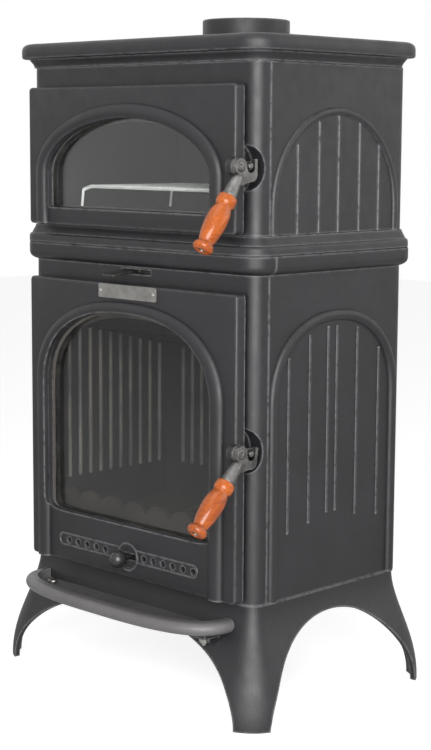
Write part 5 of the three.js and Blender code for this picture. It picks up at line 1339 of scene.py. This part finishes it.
def makeLiners():
    for label, sign in (("right", 1), ("left", -1)):
        flip = Matrix.Diagonal((sign, 1, 1, 1))
        outline = bmesh.new()
        corners = [(liner["front"], liner["low"]), (liner["rear"], liner["low"]),
                   (liner["rear"], liner["highRear"]), (liner["slopeFrom"], liner["high"]),
                   (liner["front"], liner["high"])]
        outline.faces.new([outline.verts.new((y, z, 0)) for y, z in corners])
        board = sidewise(outline, liner["face"], liner["back"] - liner["face"])
        pads = [rod("X", linerPad["radius"], liner["back"] - overrun, linerPad["sideEnd"], y, z, 40)
                for y in linerPad["sideY"] for z in linerPad["heights"]]
        board = carve(board, pads, "UNION")
        finishPiece(f"linerBoardPaintedShade_{label}", place(board, flip), "liner", "root", [f"liner_{label}"], edge=0.6,
                    angle=40)
        rods = []
        for index in range(linerRibs["count"]):
            y = linerRibs["first"] + linerRibs["pitch"] * index
            rib = rod("Z", 1, linerRibs["low"], linerTop(y) - linerRibs["under"], 0, 0, 16)
            size = Matrix.Diagonal((linerRibs["proud"], linerRibs["wide"] / 2, 1, 1))
            rods.append(place(rib, Matrix.Translation((liner["face"], y, 0)) @ size))
        finishPiece(f"linerRibs_{label}", place(gather(rods), flip), "linerRibPaintedHighlight", "root", angle=50)
    board = boxPiece(-liner["back"], rearLiner["face"], liner["low"],
                     liner["back"], rearLiner["back"], rearLiner["high"])
    pads = [rod("Y", linerPad["radius"], rearLiner["back"] - overrun, linerPad["rearEnd"],
                side * linerPad["rearX"], z, 40) for side in (-1, 1) for z in linerPad["heights"]]
    finishPiece("linerBoardPaintedShade_back", carve(board, pads, "UNION"), "liner", "root", ["liner_back"], edge=0.6,
                angle=40)
    rods = []
    for index in range(linerRibs["rearCount"]):
        x = linerRibs["pitch"] * (index - (linerRibs["rearCount"] - 1) / 2)
        rib = rod("Z", 1, linerRibs["low"], rearLiner["high"] - linerRibs["under"], 0, 0, 16)
        size = Matrix.Diagonal((linerRibs["wide"] / 2, linerRibs["proud"], 1, 1))
        rods.append(place(rib, Matrix.Translation((x, rearLiner["face"], 0)) @ size))
    finishPiece("linerRibs_back", gather(rods), "linerRibPaintedHighlight", "root", angle=50)


makeLiners()

# smaller parts keep the frame's solids, with their edges broken
softened = dict(
    oven_pivot_bolt=("lever", "oven_door", 0.5), firebox_pivot_bolt=("lever", "firebox_door", 0.5),
    oven_grip_screw=("zinc", "oven_handle", 0.3), firebox_grip_screw=("zinc", "firebox_handle", 0.3),
    nameplate_screw_left=("zinc", "firebox_door", 0.3), nameplate_screw_right=("zinc", "firebox_door", 0.3),
    ash_lip_bolt_left=("zinc", "root", 0.6), ash_lip_bolt_right=("zinc", "root", 0.6),
    oven_keeper_pin=("lever", "root", 0.6), firebox_keeper_pin=("lever", "root", 0.6),
    airwash_slide=("sheet", "airwash_slide", 0.5), primary_air_slide=("sheet", "primary_air_slide", 0.4),
    oven_rack=("wirePaintedHighlight", "root", 0.0), grate=("sooted", "root", 0.8),
)
for node, (finish, bodyName, edge) in softened.items():
    finishPiece(f"{node}_finished", nodeCopy(node), finish, bodyName, [node], edge=edge, angle=48, tidy=False)

plainNodes = dict(
    sooted=["firebox_floor", "hearth_plate"],
    ovenWall=["oven_box"],
    # the baffle takes the liner's darker finish with painted shade
    liner=["baffle"],
    sheet=["ash_pan", "oven_glass_retainer", "firebox_glass_retainer"],
    zinc=["oven_hinge_pin_low", "oven_hinge_pin_high", "firebox_hinge_pin_low", "firebox_hinge_pin_high"],
    glass=["oven_glass", "firebox_glass"],
    rope=["oven_glass_gasket", "firebox_glass_gasket", "oven_door_rope", "firebox_door_rope"],
)
for finish, names in plainNodes.items():
    for name in names:
        slots = nodes[name].data.materials
        if len(slots):
            slots[0] = materials[finish]
        else:
            slots.append(materials[finish])
print("remaining nodes finished")

# pale floor and soft light
studio = dict(floor=6, floorTone=0.72, floorSeen=0.8, floorMirrored=0.2, world=0.13, seen=1.0)
floorMaterial, floorTree, floorShader = newMaterial("paleFloor")[:3]
floorShader.inputs["Base Color"].default_value = (*[studio["floorTone"]] * 3, 1)
floorShader.inputs["Roughness"].default_value = 0.9
floorShader.inputs["Specular IOR Level"].default_value = 0.1
floorShader.inputs["Emission Color"].default_value = (1, 1, 1, 1)
floorPaths = floorTree.nodes.new("ShaderNodeLightPath")
floorSeen = mathNode(floorTree, "MULTIPLY", floorPaths.outputs["Is Camera Ray"], studio["floorSeen"])
floorCaught = mathNode(floorTree, "MAXIMUM", floorPaths.outputs["Is Glossy Ray"],
                       floorPaths.outputs["Is Transmission Ray"])
floorGlow = mathNode(floorTree, "MAXIMUM", floorSeen,
                     mathNode(floorTree, "MULTIPLY", floorCaught, studio["floorMirrored"]))
floorTree.links.new(floorGlow, floorShader.inputs["Emission Strength"])
floorMesh = bmesh.new()
bmesh.ops.create_grid(floorMesh, x_segments=1, y_segments=1, size=studio["floor"])
floor = objectFrom("studioFloor", floorMesh)
floor.data.materials.append(floorMaterial)


# softboxes in metres and watts; azimuth in degrees from the front towards the right, aimed at a height
# on the stove's axis
softboxes = dict(
    keySoftbox=dict(azimuth=44, distance=2.8, height=0.95, aim=0.5, wide=2.0, tall=2.3, energy=122),
    sideSoftbox=dict(azimuth=130, distance=3.0, height=1.6, aim=0.6, wide=2.4, tall=2.2, energy=14),
    topSoftbox=dict(azimuth=30, distance=0.9, height=3.2, aim=0.5, wide=1.8, tall=1.8, energy=10),
)


def addLamp(name, box):
    data = bpy.data.lights.new(name, "AREA")
    data.shape = "RECTANGLE"
    data.size = box["wide"]
    data.size_y = box["tall"]
    data.energy = box["energy"]
    lamp = bpy.data.objects.new(name, data)
    scene.collection.objects.link(lamp)
    turnTo = math.radians(box["azimuth"])
    spot = Vector((box["distance"] * math.sin(turnTo), -box["distance"] * math.cos(turnTo), box["height"]))
    direction = Vector((0, 0, box["aim"])) - spot
    lamp.matrix_world = Matrix.Translation(spot) @ direction.to_track_quat("-Z", "Y").to_matrix().to_4x4()


for name, box in softboxes.items():
    addLamp(name, box)

world = bpy.data.worlds.new("studioWorld")
scene.world = world
world.use_nodes = True
worldTree = world.node_tree
background = worldTree.nodes["Background"]
background.inputs["Color"].default_value = (1, 1, 1, 1)
paths = worldTree.nodes.new("ShaderNodeLightPath")
# white is seen directly, mirrored and through glass, but doesn't light the inside of the stove
undiffused = mathNode(worldTree, "LESS_THAN", paths.outputs["Diffuse Depth"], 0.5)
caught = mathNode(worldTree, "MAXIMUM", paths.outputs["Is Glossy Ray"], paths.outputs["Is Transmission Ray"])
through = mathNode(worldTree, "MULTIPLY", caught, undiffused)
seen = mathNode(worldTree, "MAXIMUM", paths.outputs["Is Camera Ray"], through)
strength = rangeNode(worldTree, seen, 0, 1, studio["world"], studio["seen"])
worldTree.links.new(strength, background.inputs["Strength"])
scene.view_settings.view_transform = "Standard"
print("studio made")
